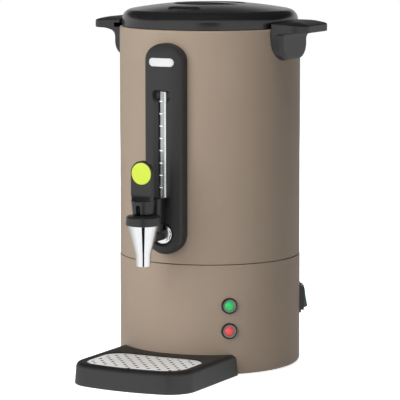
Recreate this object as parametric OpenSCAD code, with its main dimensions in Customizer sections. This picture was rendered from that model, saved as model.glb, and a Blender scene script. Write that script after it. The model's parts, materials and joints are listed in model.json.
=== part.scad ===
// Percolator coffee urn with a double wall, a lever tap with a level gauge, and a drip tray.
// Millimetres, +Z up. The origin is on the casing axis at table level, and the tap faces -Y.

/* [Casing] */
// Outer diameter of the upper casing
casing_d = 220; // [210:1:240]
// Height of the casing rim above the table
rim_z = 413; // [408:1:430]
// Height of the seam between base and upper casing
seam_z = 134; // [128:1:138]
// How far the base stands out beyond the upper casing
base_proud = 0.4; // [0.3:0.1:1.2]
// Sheet thickness of both casings
casing_t = 1.2; // [0.8:0.1:1.6]
// Rounding of the bottom edge of the base
base_edge_r = 8; // [5:0.5:10]
// Height of the bottom edge of the base above the table
base_gap = 1; // [0.6:0.1:1.4]
// Width of the turned-in flanges of the base
base_flange = 13; // [11:0.5:16]
// Thickness of the base plate
base_plate_t = 1.2; // [0.8:0.1:1.6]
// Height of the base plate's underside above the table
base_plate_z = 2.2; // [2:0.1:3]

/* [Feet] */
// Diameter of a rubber foot
foot_d = 20; // [14:1:24]
// Radius of the circle on which the feet stand
foot_ring_r = 72; // [60:1:78]
// Number of feet
foot_count = 4; // [3:1:6]

/* [Vessel] */
// Air gap between casing and vessel
wall_gap = 7.8; // [7:0.1:10]
// Sheet thickness of the vessel
vessel_t = 1; // [0.8:0.1:1.4]
// Height of the vessel floor above the seam
floor_rise = 6; // [4:0.5:10]
// Inside diameter of the heater well in the floor
well_d = 64; // [60:1:72]
// Depth of the heater well
well_depth = 12; // [10:0.5:14]
// Thickness of the rolled rim of the vessel
rim_t = 1.2; // [0.8:0.1:1.6]

/* [Heating] */
// Diameter of the sheathed elements
element_d = 6.6; // [5:0.1:7]
// Ring radius of the brewing element
brew_ring_r = 22; // [18:0.5:24]
// Ring radius of the keep-warm element
warm_ring_r = 58; // [50:1:64]
// Length of an element's terminal pins
terminal_l = 14; // [10:1:18]
// Radius at which thermostat and cutout sit under the floor
sensor_r = 80; // [76:1:84]
// Diameter of the thermostat
thermostat_d = 18; // [14:1:20]
// Diameter of the thermal cutout
cutout_d = 14; // [10:1:16]

/* [Lid] */
// How far the side of the lid stands back from the casing
lid_inset = 2.8; // [1:0.1:3]
// Height of the straight side of the lid
lid_side_h = 7.5; // [5:0.5:10]
// Radius of the shoulder of the lid
lid_shoulder_r = 13; // [9:0.5:16]
// Height of the crown above the lower edge of the lid
lid_rise = 29; // [27:0.5:35]
// Wall thickness of the lid
lid_t = 2.5; // [2:0.1:3]
// Diameter of the grip recess in the lid
grip_d = 86; // [70:1:96]
// Depth of the grip recess
grip_depth = 17; // [12:0.5:18]
// Width of the grip bar across the recess
grip_bar_w = 20; // [14:1:26]
// Width of the vent slot across the front of the lid
vent_w = 39; // [24:1:46]
// Breadth of the vent slot
vent_b = 8; // [7:0.5:13]
// Distance of the vent slot from the axis
vent_y = 68; // [66:1:80]
// Depth of the locating ring of the lid below its edge
spigot_depth = 9; // [7:0.5:12]

/* [Handles] */
// How far the handle shelf stands out from the casing
handle_reach = 35; // [30:0.5:42]
// Half of the width of the shelf
handle_half_w = 42; // [38:0.5:48]
// Corner radius of the shelf in plan
handle_corner_r = 20; // [10:1:28]
// Height of the shelf's underside above the rim
shelf_rise = -4; // [-9:0.5:-3]
// Height of the shelf at its crest, from its underside
shelf_h = 14; // [12:0.5:20]
// Wall thickness of the shelf
shelf_t = 3; // [2.5:0.1:4]
// Depth of the bracket below the shelf
bracket_h = 37.5; // [30:0.5:42]
// How far the bracket pad stands out from the casing
pad_reach = 7; // [5:0.5:9]
// Half of the width of the bracket pad
pad_half_w = 27.5; // [24:0.5:31]
// Radius of the fillet under the shelf
shelf_fillet_r = 8; // [5:0.5:9]
// Shaft diameter of the handle and housing screws
screw_d = 4; // [3:0.1:5]

/* [Gauge housing] */
// Width of the gauge housing
housing_w = 50; // [47:0.5:56]
// How far the housing stands out from the casing
housing_reach = 17; // [16.5:0.5:21]
// Crown of the housing's front face
housing_crown = 6; // [4:0.5:8]
// Rounding of the edge of the front face
housing_edge_r = 6; // [4:0.5:7]
// Height of the housing's upper end above the tap shank
housing_h = 226.5; // [215:0.5:229]
// Flattening of the housing's arched upper end
arch_flat = 0.8; // [0.7:0.02:0.98]
// Half of the width of the gauge slot
slot_half_w = 9.5; // [8.5:0.5:11]
// Height of the gauge slot's upper end from the housing's upper end
slot_top = -54.5; // [-66:0.5:-48]
// Half of the width of the soft hollow round the gauge slot
hollow_half_w = 14; // [12.5:0.5:15]
// Outer diameter of the gauge tube
tube_d = 8.2; // [7:0.1:9]
// Wall thickness of the gauge tube
tube_t = 1.2; // [0.8:0.1:1.6]
// How far the gauge tube's axis stands out from the casing
tube_reach = 10.5; // [9.5:0.5:11.5]
// Width of the badge plate
badge_w = 33; // [24:0.5:38]
// Height of the badge plate
badge_h = 10; // [8:0.5:13]
// Height of the badge plate's centre from the housing's upper end
badge_rise = -22; // [-30:0.5:-20]
// Thickness of the badge plate
badge_t = 0.8; // [0.5:0.1:1.2]

/* [Tap] */
// Height of the tap shank's axis above the table
tap_z = 172; // [168:1:178]
// Distance of the spout's axis from the casing
tap_reach = 60; // [54:0.5:66]
// Diameter of the shank between housing and spout
shank_d = 14; // [12:0.5:16]
// Diameter of the shank's threaded part through the walls
thread_d = 20; // [16:0.5:22]
// Bore of the shank
shank_bore_d = 8; // [6:0.5:9]
// Outer diameter of the chrome ring round the shank
ring_d = 26; // [24:0.5:30]
// Thickness of the chrome ring
ring_t = 4; // [3:0.5:5]
// Width of the riser boss that carries the gauge tube
riser_w = 13; // [11.5:0.5:14.5]
// Height of the riser boss above the shank
riser_h = 44; // [38:0.5:46]
// Height of the spout's mouth below the shank
spout_drop = 32.5; // [28:0.5:36]
// Height of the straight nozzle
nozzle_h = 13; // [10:0.5:16]
// Outer diameter of the nozzle
nozzle_d = 18; // [15:0.5:19]
// Height of the spout's rim above the shank
spout_rise = 16.5; // [14:0.5:19]
// Outer diameter of the spout at its rim
spout_d = 36; // [33:0.5:37]
// Wall thickness of the spout
spout_t = 2.4; // [1.8:0.1:3]
// Diameter of the bonnet collar
bonnet_d = 42; // [39:0.5:45]
// Height of the bonnet collar
bonnet_h = 12; // [11:0.5:15]
// Diameter of the valve stem
stem_d = 5; // [4:0.1:5.4]
// Diameter of the lever pin
pin_d = 3; // [2.5:0.1:3.4]
// Height of the lever pin above the bonnet
pin_rise = 6; // [5:0.1:7]
// How far the lever's cam stands in front of the pin
cam_offset = 8; // [6:0.5:9]
// Diameter of the lever's round base
lever_base_d = 28; // [25:0.5:32]
// How far the lever's base tapers in towards the bonnet
lever_taper = 2; // [0.5:0.1:2.5]
// Height of the lever's base above the bonnet
lever_base_h = 17; // [16:0.5:24]
// Height of the lever's upper end above the bonnet
lever_h = 64; // [56:0.5:74]
// Thickness of the lever's paddle
paddle_t = 6; // [5:0.5:8]
// How far the paddle's face stands in front of the spout axis
paddle_front = 4.5; // [2:0.5:5]
// Diameter of the disc on the paddle
disc_d = 25.6; // [20:0.2:26]
// Thickness of the disc
disc_t = 1; // [0.6:0.1:1.6]
// Width of the slot in the lever's base
lever_slot_w = 5.6; // [5.5:0.1:7]
// Coils of the valve spring
spring_turns = 6; // [5:1:7]
// Wire diameter of the valve spring
spring_wire_d = 1; // [0.8:0.1:1.2]

/* [Lamps and switch] */
// Angle of the lamps from the front
lamp_angle = 39.4; // [30:0.2:50]
// Height of the green lamp
green_lamp_z = 85; // [80:0.5:100]
// Height of the red lamp
red_lamp_z = 54.5; // [36:0.5:58]
// Diameter of a lamp's bezel
bezel_d = 19.5; // [16:0.5:21]
// Diameter of a lamp's lens
lens_d = 12.5; // [10:0.5:13.5]
// Diameter of a lamp's barrel through the casing
barrel_d = 14.5; // [14.4:0.1:15]
// Angle of the switch from the front
switch_angle = 121; // [112:1:140]
// Height of the switch's centre
switch_z = 77.5; // [60:0.5:95]
// Width of the switch flange
switch_w = 27; // [25:0.5:32]
// Height of the switch flange
switch_h = 36.5; // [34:0.5:42]
// How far the switch frame stands out from the base
switch_frame_h = 5; // [4.6:0.2:6.6]
// Length of the rocker
rocker_l = 26.4; // [22:0.2:27]
// Width of the rocker
rocker_w = 19; // [15:0.5:19.5]
// Angle of the rocker's rest position
rocker_tilt = 9; // [7:0.5:12]

/* [Mains inlet] */
// Height of the cable gland at the back
gland_z = 40; // [30:1:60]
// Bore of the cable gland
gland_bore_d = 8; // [6:0.1:9]
// Outer diameter of the cable gland's thread
gland_thread_d = 15; // [13:0.5:17]

/* [Percolator] */
// Outer diameter of the pump tube
pump_d = 10; // [8:0.5:12]
// Wall thickness of the pump tube
pump_t = 1; // [0.8:0.1:1.4]
// Height of the pump tube's upper end below the rim
pump_below_rim = 18; // [14:1:26]
// Clearance of the bell foot in the well
bell_clear = 2; // [1:0.5:3]
// Height of the bell foot
bell_h = 22; // [18:1:26]
// Height of the basket's floor below the rim
basket_drop = 128; // [110:1:140]
// Depth of the basket
basket_h = 75; // [60:1:82]
// Outer diameter of the basket
basket_d = 124; // [110:1:140]
// Sheet thickness of basket, spreader and bell
sheet_t = 0.8; // [0.6:0.1:1]
// Diameter of the holes in basket floor and spreader
drain_d = 4; // [3:0.1:5]

/* [Drip tray] */
// Half of the width of the tray
tray_half_w = 78.5; // [74:0.5:86]
// Distance of the tray's front from the casing axis
tray_front = 227; // [218:0.5:240]
// Radius of the tray's bowed front
tray_bow_r = 252; // [200:1:400]
// Radius of the tray's front corners
tray_corner_r = 34; // [26:0.5:38]
// Height of the tray
tray_h = 26; // [22:0.5:30]
// How far the tray's walls lean in towards the top
tray_draft = 3; // [1:0.5:4]
// Rounding of the tray's upper edge
tray_edge_r = 6; // [3:0.5:7]
// Width of the tray's rim round the grid
tray_rim_w = 10; // [9:0.5:14]
// Wall thickness of the tray
tray_t = 2.5; // [2:0.1:3]
// Depth of the grid below the rim
grid_drop = 1.6; // [1.4:0.1:3]
// Thickness of the grid
grid_t = 1.2; // [0.8:0.1:1.6]
// Distance of the grid's straight back edge from the base
grid_back_gap = 14; // [12:0.5:18]
// Length of a slot in the grid
grid_slot_l = 6; // [5:0.5:7]
// Width of a slot in the grid
grid_slot_w = 2.6; // [2:0.1:3]
// Spacing of the slots across the tray
grid_pitch_x = 13; // [11:0.5:16]
// Spacing of the rows of slots
grid_pitch_y = 10; // [9:0.5:13]

/* [Hidden] */
$fn = 64;
// Gap between pieces of different bodies at rest
seat = 0.3;
// Radial clearance of a turning pin
run = 0.05;
// Radial clearance of a fixed piece in its hole
slip = 0.1;
// Overlap of cutters past a face
eps = 1;
// Steps in a round stretch of an outline
arc_steps = 12;
bow_steps = 24;
edge_steps = 5;

casing_r = casing_d / 2;
base_r = casing_r + base_proud;
casing_in_r = casing_r - casing_t;
vessel_r = casing_in_r - wall_gap;
vessel_in_r = vessel_r - vessel_t;
floor_z = seam_z + floor_rise;
well_r = well_d / 2;
well_z = floor_z + vessel_t - well_depth;
rim_top_z = rim_z + rim_t;
lip_gap = 2;
casing_lip_r = vessel_r + lip_gap;
plate_gap = 1.5;
plate_edge_r = base_r - base_edge_r - plate_gap;
base_screw_r = plate_edge_r - base_flange / 2;
base_screw_angles = [45 : 90 : 315];

foot_stem_d = 6.6;

stud_d = 6;
stud_l = 20;
clamp_t = 2;
element_r = element_d / 2;
terminal_d = 4;

lid_r = casing_r - lid_inset;
rim_clear = 0.5;
rim_out_r = lid_r - lid_t - rim_clear;
lid_z = rim_z + seat;
lid_side_z = lid_z + lid_side_h;
lid_top_z = lid_z + lid_rise;
dome_h = lid_rise - lid_side_h - lid_shoulder_r;
dome_s = lid_r - lid_shoulder_r;
dome_r = (dome_s * dome_s + dome_h * dome_h) / (2 * dome_h) + lid_shoulder_r;
dome_z = lid_top_z - dome_r;
grip_r = grip_d / 2;
grip_floor_z = lid_top_z - grip_depth;
gasket_t = 2;
spigot_t = 2.5;
gasket_r = vessel_in_r - seat;

shelf_z = rim_z + shelf_rise;
shelf_x = casing_r + handle_reach;
pad_x = casing_r + pad_reach;
bracket_z = shelf_z - bracket_h;
crown_x = 45;
crown_y = 73;
crown_h = 30;
shelf_crest = 8;
shelf_crest_x = casing_r + shelf_crest;
root_step = 0.5;
root_half_w = handle_half_w - root_step;
root_corner_r = 25;
pad_corner_r = 15;
pad_rise = 4;
shield_t = 0.5;
screw_head_d = 2 * screw_d;
screw_head_h = 2;
handle_screw_y = 14;
handle_screw_drop = 16;
handle_screw_z = shelf_z - handle_screw_drop;
lock_slot_h = 4.5;
lock_slot_rise = 2;
lock_slot_z = shelf_z + lock_slot_rise;
lock_slot_depth = 8;

housing_hw = housing_w / 2;
housing_y = casing_r + housing_reach;
face_r = (housing_hw * housing_hw + housing_crown * housing_crown) / (2 * housing_crown);
face_y = housing_y - face_r;
edge_x = housing_hw - housing_edge_r;
edge_y = face_y + sqrt(pow(face_r - housing_edge_r, 2) - edge_x * edge_x);
edge_angle = asin(edge_x / (face_r - housing_edge_r));
housing_top_z = tap_z + housing_h;
arch_z = housing_top_z - housing_hw * arch_flat;
slot_top_z = housing_top_z + slot_top;
hollow_r = 17;
hollow_y = housing_y + sqrt(hollow_r * hollow_r - hollow_half_w * hollow_half_w);
hollow_top_z = slot_top_z - hollow_half_w;
tube_y = casing_r + tube_reach;
riser_gap = 0.5;
slot_floor_y = tube_y - riser_w / 2 - riser_gap;
tube_socket = 8;
tube_top_z = slot_top_z + tube_socket;
seal_t = 1.2;
seal_d = tube_d + 2 * seal_t;
badge_z = housing_top_z + badge_rise;
screw_above_slot = 20;
housing_screw_z = slot_top_z + screw_above_slot;
screw_cover_t = 5;
housing_screw_y = housing_y - screw_cover_t;
ring_seat_y = housing_y - housing_crown;
ring_front_y = ring_seat_y + ring_t;
ring_lip = 1.2;

tap_y = casing_r + tap_reach;
shank_r = shank_d / 2;
thread_r = thread_d / 2;
nut_w = thread_d + 8;
nut_t = 6;
shank_seal_t = 2;
riser_front = 6;
riser_y = ring_front_y + riser_w / 2 + riser_front;
riser_z = tap_z + riser_h;
riser_back_z = tap_z + ring_d / 2 + ring_lip + 1;
tube_foot_z = riser_z - 16;
mouth_z = tap_z - spout_drop;
cone_z = mouth_z + nozzle_h;
spout_z = tap_z + spout_rise;
bonnet_z = spout_z + bonnet_h;
seat_z = cone_z + 1;
seat_bore_r = nozzle_d / 2 - spout_t - 0.6;
cup_r = seat_bore_r + 1.4;
cup_h = 9;
bonnet_spigot = 5;
pin_z = bonnet_z + pin_rise;
pin_l = lever_base_d - 2 * lever_taper + 1;
stem_eye = 3.5;
spring_r = cup_r - spring_wire_d;
spring_z0 = seat_z + cup_h + seat;
spring_z1 = spout_z - bonnet_spigot - seat;

lever_base_r = lever_base_d / 2;
lever_z = bonnet_z + seat;
step_z = bonnet_z + lever_base_h;
lever_top_z = bonnet_z + lever_h;
paddle_over = 1;
paddle_r = lever_base_r + paddle_over;
paddle_cz = lever_top_z - paddle_r;
cam_r = pin_rise - seat;
scoop_r = 9;

lens_r = lens_d / 2;
bezel_r = bezel_d / 2;
bezel_h = 2.4;
barrel_l = 16;
lamp_nut_w = barrel_d + 5;
lamp_nut_t = 4;
lens_dome = 3;

rocker_axis_out = 1.5;
rocker_sweep_r = rocker_l / 2;
rocker_face = 6;
rocker_dish = 0.4;
rocker_depth = 9;
frame_end_t = 2;
frame_side_t = 2.2;
flange_t = 1.3;
switch_depth = 18;
barrel_hw = rocker_w / 2 + frame_side_t;
barrel_hh = rocker_sweep_r + frame_end_t;

gland_head_d = gland_thread_d + 7;
gland_head_l = 9;
gland_thread_l = 16;
gland_nut_t = 4;

pump_r = pump_d / 2;
bell_r = well_r - bell_clear;
bell_z = well_z + vessel_t + seat;
foot_plate_z = bell_z + sheet_t;
pump_top_z = rim_z - pump_below_rim;
basket_z = rim_z - basket_drop;
basket_r = basket_d / 2;
collar_t = 2.4;
collar_r = pump_r + 4;
sleeve_r = pump_r + seat;
spreader_z = basket_z + basket_h + seat;
spreader_lip = 5;
spreader_clear = 1;
spreader_holes = [6, 4];
screen_holes = [4, 8];
screen_ledge = 6;
sleeve_below = 8;
valve_t = 1;
valve_r = bell_r - 9;
valve_in_r = pump_r + 1;

tray_gap = seat;
tray_back_r = base_r + tray_gap;
grid_z = tray_h - grid_drop;
ledge_w = 3;
tray_floor_t = 2.5;
tray_floor_z = 1;
grid_clear = 0.5;
grid_back_y = base_r + grid_back_gap;
grid_inset = tray_draft + tray_rim_w;
grid_hw = tray_half_w - grid_inset;
grid_front = tray_front - grid_inset;
grid_corner_r = tray_corner_r - tray_draft - tray_rim_w / 2;
tray_overrun = 10;
tray_end_y = sqrt(tray_back_r * tray_back_r - pow(tray_half_w, 2)) - tray_overrun;

// Points on an arc round (cx, cy), from angle a0 to angle a1
function arc(cx, cy, r, a0, a1, n = arc_steps) =
  [for (i = [0 : n]) [cx + r * cos(a0 + (a1 - a0) * i / n), cy + r * sin(a0 + (a1 - a0) * i / n)]];

// A ring round Z between two radii and two heights
module ring(r_out, r_in, z0, z1) {
  difference() {
    translate([0, 0, z0]) cylinder(r = r_out, h = z1 - z0);
    translate([0, 0, z0 - eps]) cylinder(r = r_in, h = z1 - z0 + 2 * eps);
  }
}

// A cylinder that points to the front, from y0 to y1 in front of the axis, at height z
module front_cyl(r, y0, y1, z, x = 0) {
  translate([x, -y0, z]) rotate([90, 0, 0]) cylinder(r = r, h = y1 - y0);
}

// Turns what is drawn along +X to face out at an angle from the front
module facing(angle) {
  rotate([0, 0, angle - 90]) children();
}

// A hexagonal nut along Z
module hex_nut(across, bore_r, h) {
  difference() {
    cylinder(d = across / cos(30), h = h, $fn = 6);
    translate([0, 0, -eps]) cylinder(r = bore_r, h = h + 2 * eps);
  }
}

// A pan-head screw along Z with its head below z = 0
module pan_screw(d, l) {
  union() {
    translate([0, 0, -screw_head_h]) cylinder(d = 2 * d, h = screw_head_h);
    cylinder(d = d, h = l);
  }
}

// Casing

module upper_casing() {
  color("#9b8b7a") difference() {
    rotate_extrude($fn = 128) polygon([[casing_r, seam_z], [casing_r, rim_z], [casing_lip_r, rim_z],
      [casing_lip_r, rim_z - casing_t], [casing_in_r, rim_z - casing_t], [casing_in_r, seam_z]]);
    front_cyl(thread_r + slip, casing_r / 2, casing_r + eps, tap_z);
    front_cyl(screw_d / 2 + 2 * slip, casing_r / 2, casing_r + eps, housing_screw_z);
    for (s = [-1, 1], t = [-1, 1])
      translate([s * casing_r / 2, t * handle_screw_y, handle_screw_z])
        rotate([0, s * 90, 0]) cylinder(d = screw_d + 4 * slip, h = casing_r);
  }
}

// Half section of the base: the wall, its rounded foot, the turned-in lip and the upper flange
module base_section() {
  edge_c = base_r - base_edge_r;
  edge_z = base_gap + base_edge_r;
  lip_r = plate_edge_r;
  flange_z = base_plate_z + base_plate_t;
  polygon(concat(
    [[base_r, seam_z], [base_r, edge_z]],
    arc(edge_c, edge_z, base_edge_r, 0, -90),
    [[lip_r, base_gap], [lip_r, flange_z], [lip_r - base_flange, flange_z],
     [lip_r - base_flange, flange_z + casing_t], [lip_r + casing_t, flange_z + casing_t],
     [lip_r + casing_t, base_gap + casing_t]],
    arc(edge_c, edge_z, base_edge_r - casing_t, -90, 0),
    [[base_r - casing_t, seam_z - casing_t], [base_r - base_flange, seam_z - casing_t],
     [base_r - base_flange, seam_z]]));
}

module base_casing() {
  color("#968674") difference() {
    rotate_extrude($fn = 128) base_section();
    facing(lamp_angle) for (z = [green_lamp_z, red_lamp_z])
      translate([base_r / 2, 0, z]) rotate([0, 90, 0]) cylinder(d = barrel_d + 2 * slip, h = base_r);
    facing(switch_angle) translate([base_r / 2, -barrel_hw - slip, switch_z - barrel_hh - slip])
      cube([base_r, 2 * (barrel_hw + slip), 2 * (barrel_hh + slip)]);
    facing(180) translate([base_r / 2, 0, gland_z]) rotate([0, 90, 0])
      cylinder(d = gland_thread_d + 2 * slip, h = base_r);
    for (a = base_screw_angles) rotate([0, 0, a]) translate([base_screw_r, 0, base_gap])
      cylinder(d = screw_d + 2 * slip, h = base_flange);
  }
}

module base_plate() {
  vent_d = 6;
  vent_count = 12;
  vent_r = foot_ring_r - foot_d;
  color("#8a8d90") difference() {
    translate([0, 0, base_plate_z]) cylinder(r = plate_edge_r - 2 * slip, h = base_plate_t);
    for (i = [0 : foot_count - 1]) rotate([0, 0, 360 / foot_count * i]) translate([foot_ring_r, 0, 0])
      cylinder(d = foot_stem_d + 2 * slip, h = base_plate_z + base_plate_t + eps);
    for (a = base_screw_angles) rotate([0, 0, a]) translate([base_screw_r, 0, 0])
      cylinder(d = screw_d + 2 * slip, h = base_plate_z + base_plate_t + eps);
    for (i = [0 : vent_count - 1]) rotate([0, 0, 360 / vent_count * i]) translate([vent_r, 0, 0])
      cylinder(d = vent_d, h = base_plate_z + base_plate_t + eps);
  }
}

module rubber_feet() {
  stem = foot_stem_d / 2;
  bulb = stem + 1;
  edge = 0.6;
  top = base_plate_z + base_plate_t;
  tip = top + 2.5;
  color("#1c1c1d") for (i = [0 : foot_count - 1])
    rotate([0, 0, 360 / foot_count * i]) translate([foot_ring_r, 0, 0])
      rotate_extrude() polygon([[0, 0], [foot_d / 2 - edge, 0], [foot_d / 2, edge],
        [foot_d / 2, base_plate_z], [stem, base_plate_z], [stem, top], [bulb, top], [stem, tip], [0, tip]]);
}

module base_screws() {
  head = base_plate_z - base_gap;
  color("#b9bcc0") for (a = base_screw_angles) rotate([0, 0, a]) translate([base_screw_r, 0, 0]) {
    translate([0, 0, base_plate_z - head]) cylinder(d = 2 * screw_d, h = head);
    translate([0, 0, base_plate_z]) cylinder(d = screw_d, h = base_plate_t + 3 * casing_t);
  }
}

// Vessel and heating

module inner_vessel() {
  well_out = well_r + vessel_t;
  color("#c9ccd0") difference() {
    union() {
      rotate_extrude($fn = 128) polygon([
        [0, well_z], [well_out, well_z], [well_out, floor_z], [vessel_r, floor_z], [vessel_r, rim_z],
        [rim_out_r, rim_z], [rim_out_r, rim_top_z], [vessel_in_r, rim_top_z],
        [vessel_in_r, floor_z + vessel_t], [well_r, floor_z + vessel_t], [well_r, well_z + vessel_t],
        [0, well_z + vessel_t]]);
      translate([0, 0, well_z - stud_l]) cylinder(d = stud_d, h = stud_l);
    }
    front_cyl(thread_r + slip, vessel_r / 2, vessel_r + eps, tap_z);
  }
}

// A sheathed ring element under a plate at height z, with two terminal pins
module ring_element(ring_r, z) {
  end_angle = 12;
  pin_angle = end_angle + asin(element_r / ring_r);
  translate([0, 0, z - element_r]) union() {
    rotate([0, 0, end_angle]) rotate_extrude(angle = 360 - 2 * end_angle)
      translate([ring_r, 0]) circle(r = element_r);
    for (a = [pin_angle, -pin_angle]) rotate([0, 0, a]) translate([ring_r, 0, -terminal_l])
      cylinder(d = terminal_d, h = terminal_l);
  }
}

module brew_element() {
  color("#7d7f80") ring_element(brew_ring_r, well_z);
}

module keep_warm_element() {
  color("#7d7f80") ring_element(warm_ring_r, floor_z);
}

module heater_clamp() {
  pin_slot = brew_ring_r - element_r - 1;
  z = well_z - element_d - clamp_t;
  color("#b4b7ba") difference() {
    translate([0, 0, z]) cylinder(r = brew_ring_r + element_r, h = clamp_t);
    translate([0, 0, z - eps]) cylinder(d = stud_d + 2 * slip, h = clamp_t + 2 * eps);
    translate([pin_slot, -brew_ring_r / 2, z - eps]) cube([brew_ring_r, brew_ring_r, clamp_t + 2 * eps]);
  }
}

module clamp_nut() {
  t = 5;
  across = 10;
  color("#b9bcc0") translate([0, 0, well_z - element_d - clamp_t - t])
    hex_nut(across, stud_d / 2 + slip / 2, t);
}

// A round sensor pressed under the vessel floor, with two blade terminals
module floor_sensor(d, angle) {
  h = 10;
  blade = [6, 0.8, 8];
  rotate([0, 0, angle]) translate([sensor_r, 0, floor_z - h]) {
    cylinder(d = d, h = h);
    for (s = [-1, 1]) translate([-blade[0] / 2, s * d / 4 - blade[1] / 2, -blade[2]]) cube(blade);
  }
}

module thermostat() {
  color("#d8d3c4") floor_sensor(thermostat_d, 100);
}

module thermal_cutout() {
  color("#d8d3c4") floor_sensor(cutout_d, 170);
}

module terminal_block() {
  size = [44, 16, 14];
  pole_pitch = 13;
  pole_d = 5;
  color("#e4e2da") translate([0, 26, base_plate_z + base_plate_t]) difference() {
    translate([-size[0] / 2, -size[1] / 2, 0]) cube(size);
    for (i = [-1 : 1]) translate([i * pole_pitch, 0, size[2] / 2]) cylinder(d = pole_d, h = size[2]);
  }
}

// Lamps, drawn along +X with the casing surface at x = 0

module lamp_bezel() {
  rotate([0, 90, 0]) difference() {
    union() {
      rotate_extrude() polygon([[lens_r, 0], [bezel_r, 0], [bezel_r, 0.8],
        [bezel_r - 1.8, bezel_h], [lens_r, bezel_h]]);
      translate([0, 0, -barrel_l]) cylinder(d = barrel_d, h = barrel_l);
    }
    translate([0, 0, -barrel_l - eps]) cylinder(r = lens_r, h = barrel_l + bezel_h + 2 * eps);
  }
}

module lamp_lens() {
  cap_r = (lens_r * lens_r + lens_dome * lens_dome) / (2 * lens_dome);
  r = lens_r - slip / 2;
  rotate([0, 90, 0]) rotate_extrude()
    polygon(concat([[0, -barrel_l], [r, -barrel_l]],
      [for (i = [0 : arc_steps]) let (a = acos((cap_r - lens_dome) / cap_r) * (1 - i / arc_steps))
        [min(r, cap_r * sin(a)), bezel_h - 1 + cap_r * (cos(a) - 1) + lens_dome]]));
}

module lamp_at(z) {
  facing(lamp_angle) translate([base_r, 0, z]) children();
}

module green_lamp_bezel() {
  color("#161718") lamp_at(green_lamp_z) lamp_bezel();
}

module green_lamp_lens() {
  color("#1f9d55") lamp_at(green_lamp_z) lamp_lens();
}

module red_lamp_bezel() {
  color("#161718") lamp_at(red_lamp_z) lamp_bezel();
}

module red_lamp_lens() {
  color("#c8343c") lamp_at(red_lamp_z) lamp_lens();
}

module lamp_nuts() {
  color("#2a2a2b") for (z = [green_lamp_z, red_lamp_z]) lamp_at(z)
    translate([-casing_t - lamp_nut_t - bow_of(lamp_nut_w), 0, 0]) rotate([0, 90, 0])
      hex_nut(lamp_nut_w, barrel_d / 2 + slip / 2, lamp_nut_t);
}

// How far the inside of the base's wall falls back at the corners of a flat nut
function bow_of(across) =
  let (r = base_r - casing_t, w = across / 2 / cos(30)) r - sqrt(r * r - w * w);

// Rocker switch, drawn along +X with its pivot on the Y direction

module switch_place() {
  facing(switch_angle) translate([base_r, 0, switch_z]) children();
}

module switch_frame() {
  hw = barrel_hw;
  hh = barrel_hh;
  floor_t = 2;
  color("#141516") difference() {
    union() {
      difference() {
        switch_place() {
          translate([-eps, -switch_w / 2, -switch_h / 2]) cube([eps + flange_t, switch_w, switch_h]);
          translate([-eps, -hw, -hh]) cube([eps + switch_frame_h, 2 * hw, 2 * hh]);
        }
        cylinder(r = base_r, h = rim_z, $fn = 128);
      }
      switch_place() translate([-switch_depth, -hw, -hh])
        cube([switch_depth + switch_frame_h, 2 * hw, 2 * hh]);
    }
    switch_place() {
      translate([-switch_depth + floor_t, -rocker_w / 2 - slip, -rocker_sweep_r - seat])
        cube([switch_depth + switch_frame_h, rocker_w + 2 * slip, 2 * (rocker_sweep_r + seat)]);
      translate([rocker_axis_out, -hw - eps, 0]) rotate([-90, 0, 0])
        cylinder(d = pin_d + 2 * run, h = 2 * hw + 2 * eps);
    }
  }
}

module switch_rocker() {
  nose = rocker_face + rocker_dish;
  color("#12613c") switch_place() translate([rocker_axis_out, 0, 0]) rotate([0, -rocker_tilt, 0]) {
    intersection() {
      translate([0, rocker_w / 2, 0]) rotate([90, 0, 0]) linear_extrude(rocker_w)
        polygon([[-rocker_depth / 3, -rocker_l], [nose, -rocker_l / 2], [rocker_face, 0],
          [nose, rocker_l / 2], [-rocker_depth / 3, rocker_l]]);
      translate([0, rocker_w, 0]) rotate([90, 0, 0]) cylinder(r = rocker_sweep_r, h = 2 * rocker_w);
    }
    translate([0, rocker_w / 2 + frame_side_t, 0]) rotate([90, 0, 0])
      cylinder(d = pin_d, h = rocker_w + 2 * frame_side_t);
  }
}

// Mains inlet

module gland_place() {
  facing(180) translate([base_r, 0, gland_z]) rotate([0, 90, 0]) children();
}

module cable_gland() {
  flange_h = 2;
  cone_l = gland_head_l - flange_h;
  color("#18191a") gland_place() difference() {
    union() {
      cylinder(d = gland_head_d, h = flange_h);
      translate([0, 0, flange_h]) cylinder(d1 = gland_head_d - 4, d2 = gland_bore_d + 4, h = cone_l);
      translate([0, 0, -gland_thread_l]) cylinder(d = gland_thread_d, h = gland_thread_l);
    }
    translate([0, 0, -gland_thread_l - eps])
      cylinder(d = gland_bore_d, h = gland_thread_l + gland_head_l + 2 * eps);
  }
}

module gland_nut() {
  across = gland_thread_d + 6;
  color("#2a2a2b") gland_place() translate([0, 0, -casing_t - gland_nut_t - bow_of(across)])
    hex_nut(across, gland_thread_d / 2 + slip / 2, gland_nut_t);
}

// Handles; the left one is the same moulding turned half round

module shelf_plan(inset) {
  r = handle_corner_r - inset;
  hw = handle_half_w - inset;
  x = shelf_x - inset;
  union() {
    translate([casing_r / 2, -hw]) square([x - r - casing_r / 2, 2 * hw]);
    translate([casing_r / 2, -hw + r]) square([x - casing_r / 2, 2 * (hw - r)]);
    for (s = [-1, 1]) translate([x - r, s * (hw - r)]) circle(r = r);
  }
}

// The pillow that bounds the shelf above, drawn in by an inset
module shelf_crown(inset) {
  translate([shelf_crest_x, 0, shelf_z + shelf_h - crown_h])
    scale([crown_x - inset, crown_y - inset, crown_h - inset]) rotate([90, 0, 0]) sphere(r = 1, $fn = 96);
}

// A round-bottomed shield standing in the plane x, from z0 up to z1
module shield(x, hw, z0, z1, r) {
  translate([x, 0, 0]) rotate([90, 0, 90]) linear_extrude(shield_t) hull() {
    for (s = [-1, 1]) translate([s * (hw - r), z0 + r]) circle(r = r, $fn = 48);
    translate([-hw, z1 - 1]) square([2 * hw, 1]);
  }
}

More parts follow.
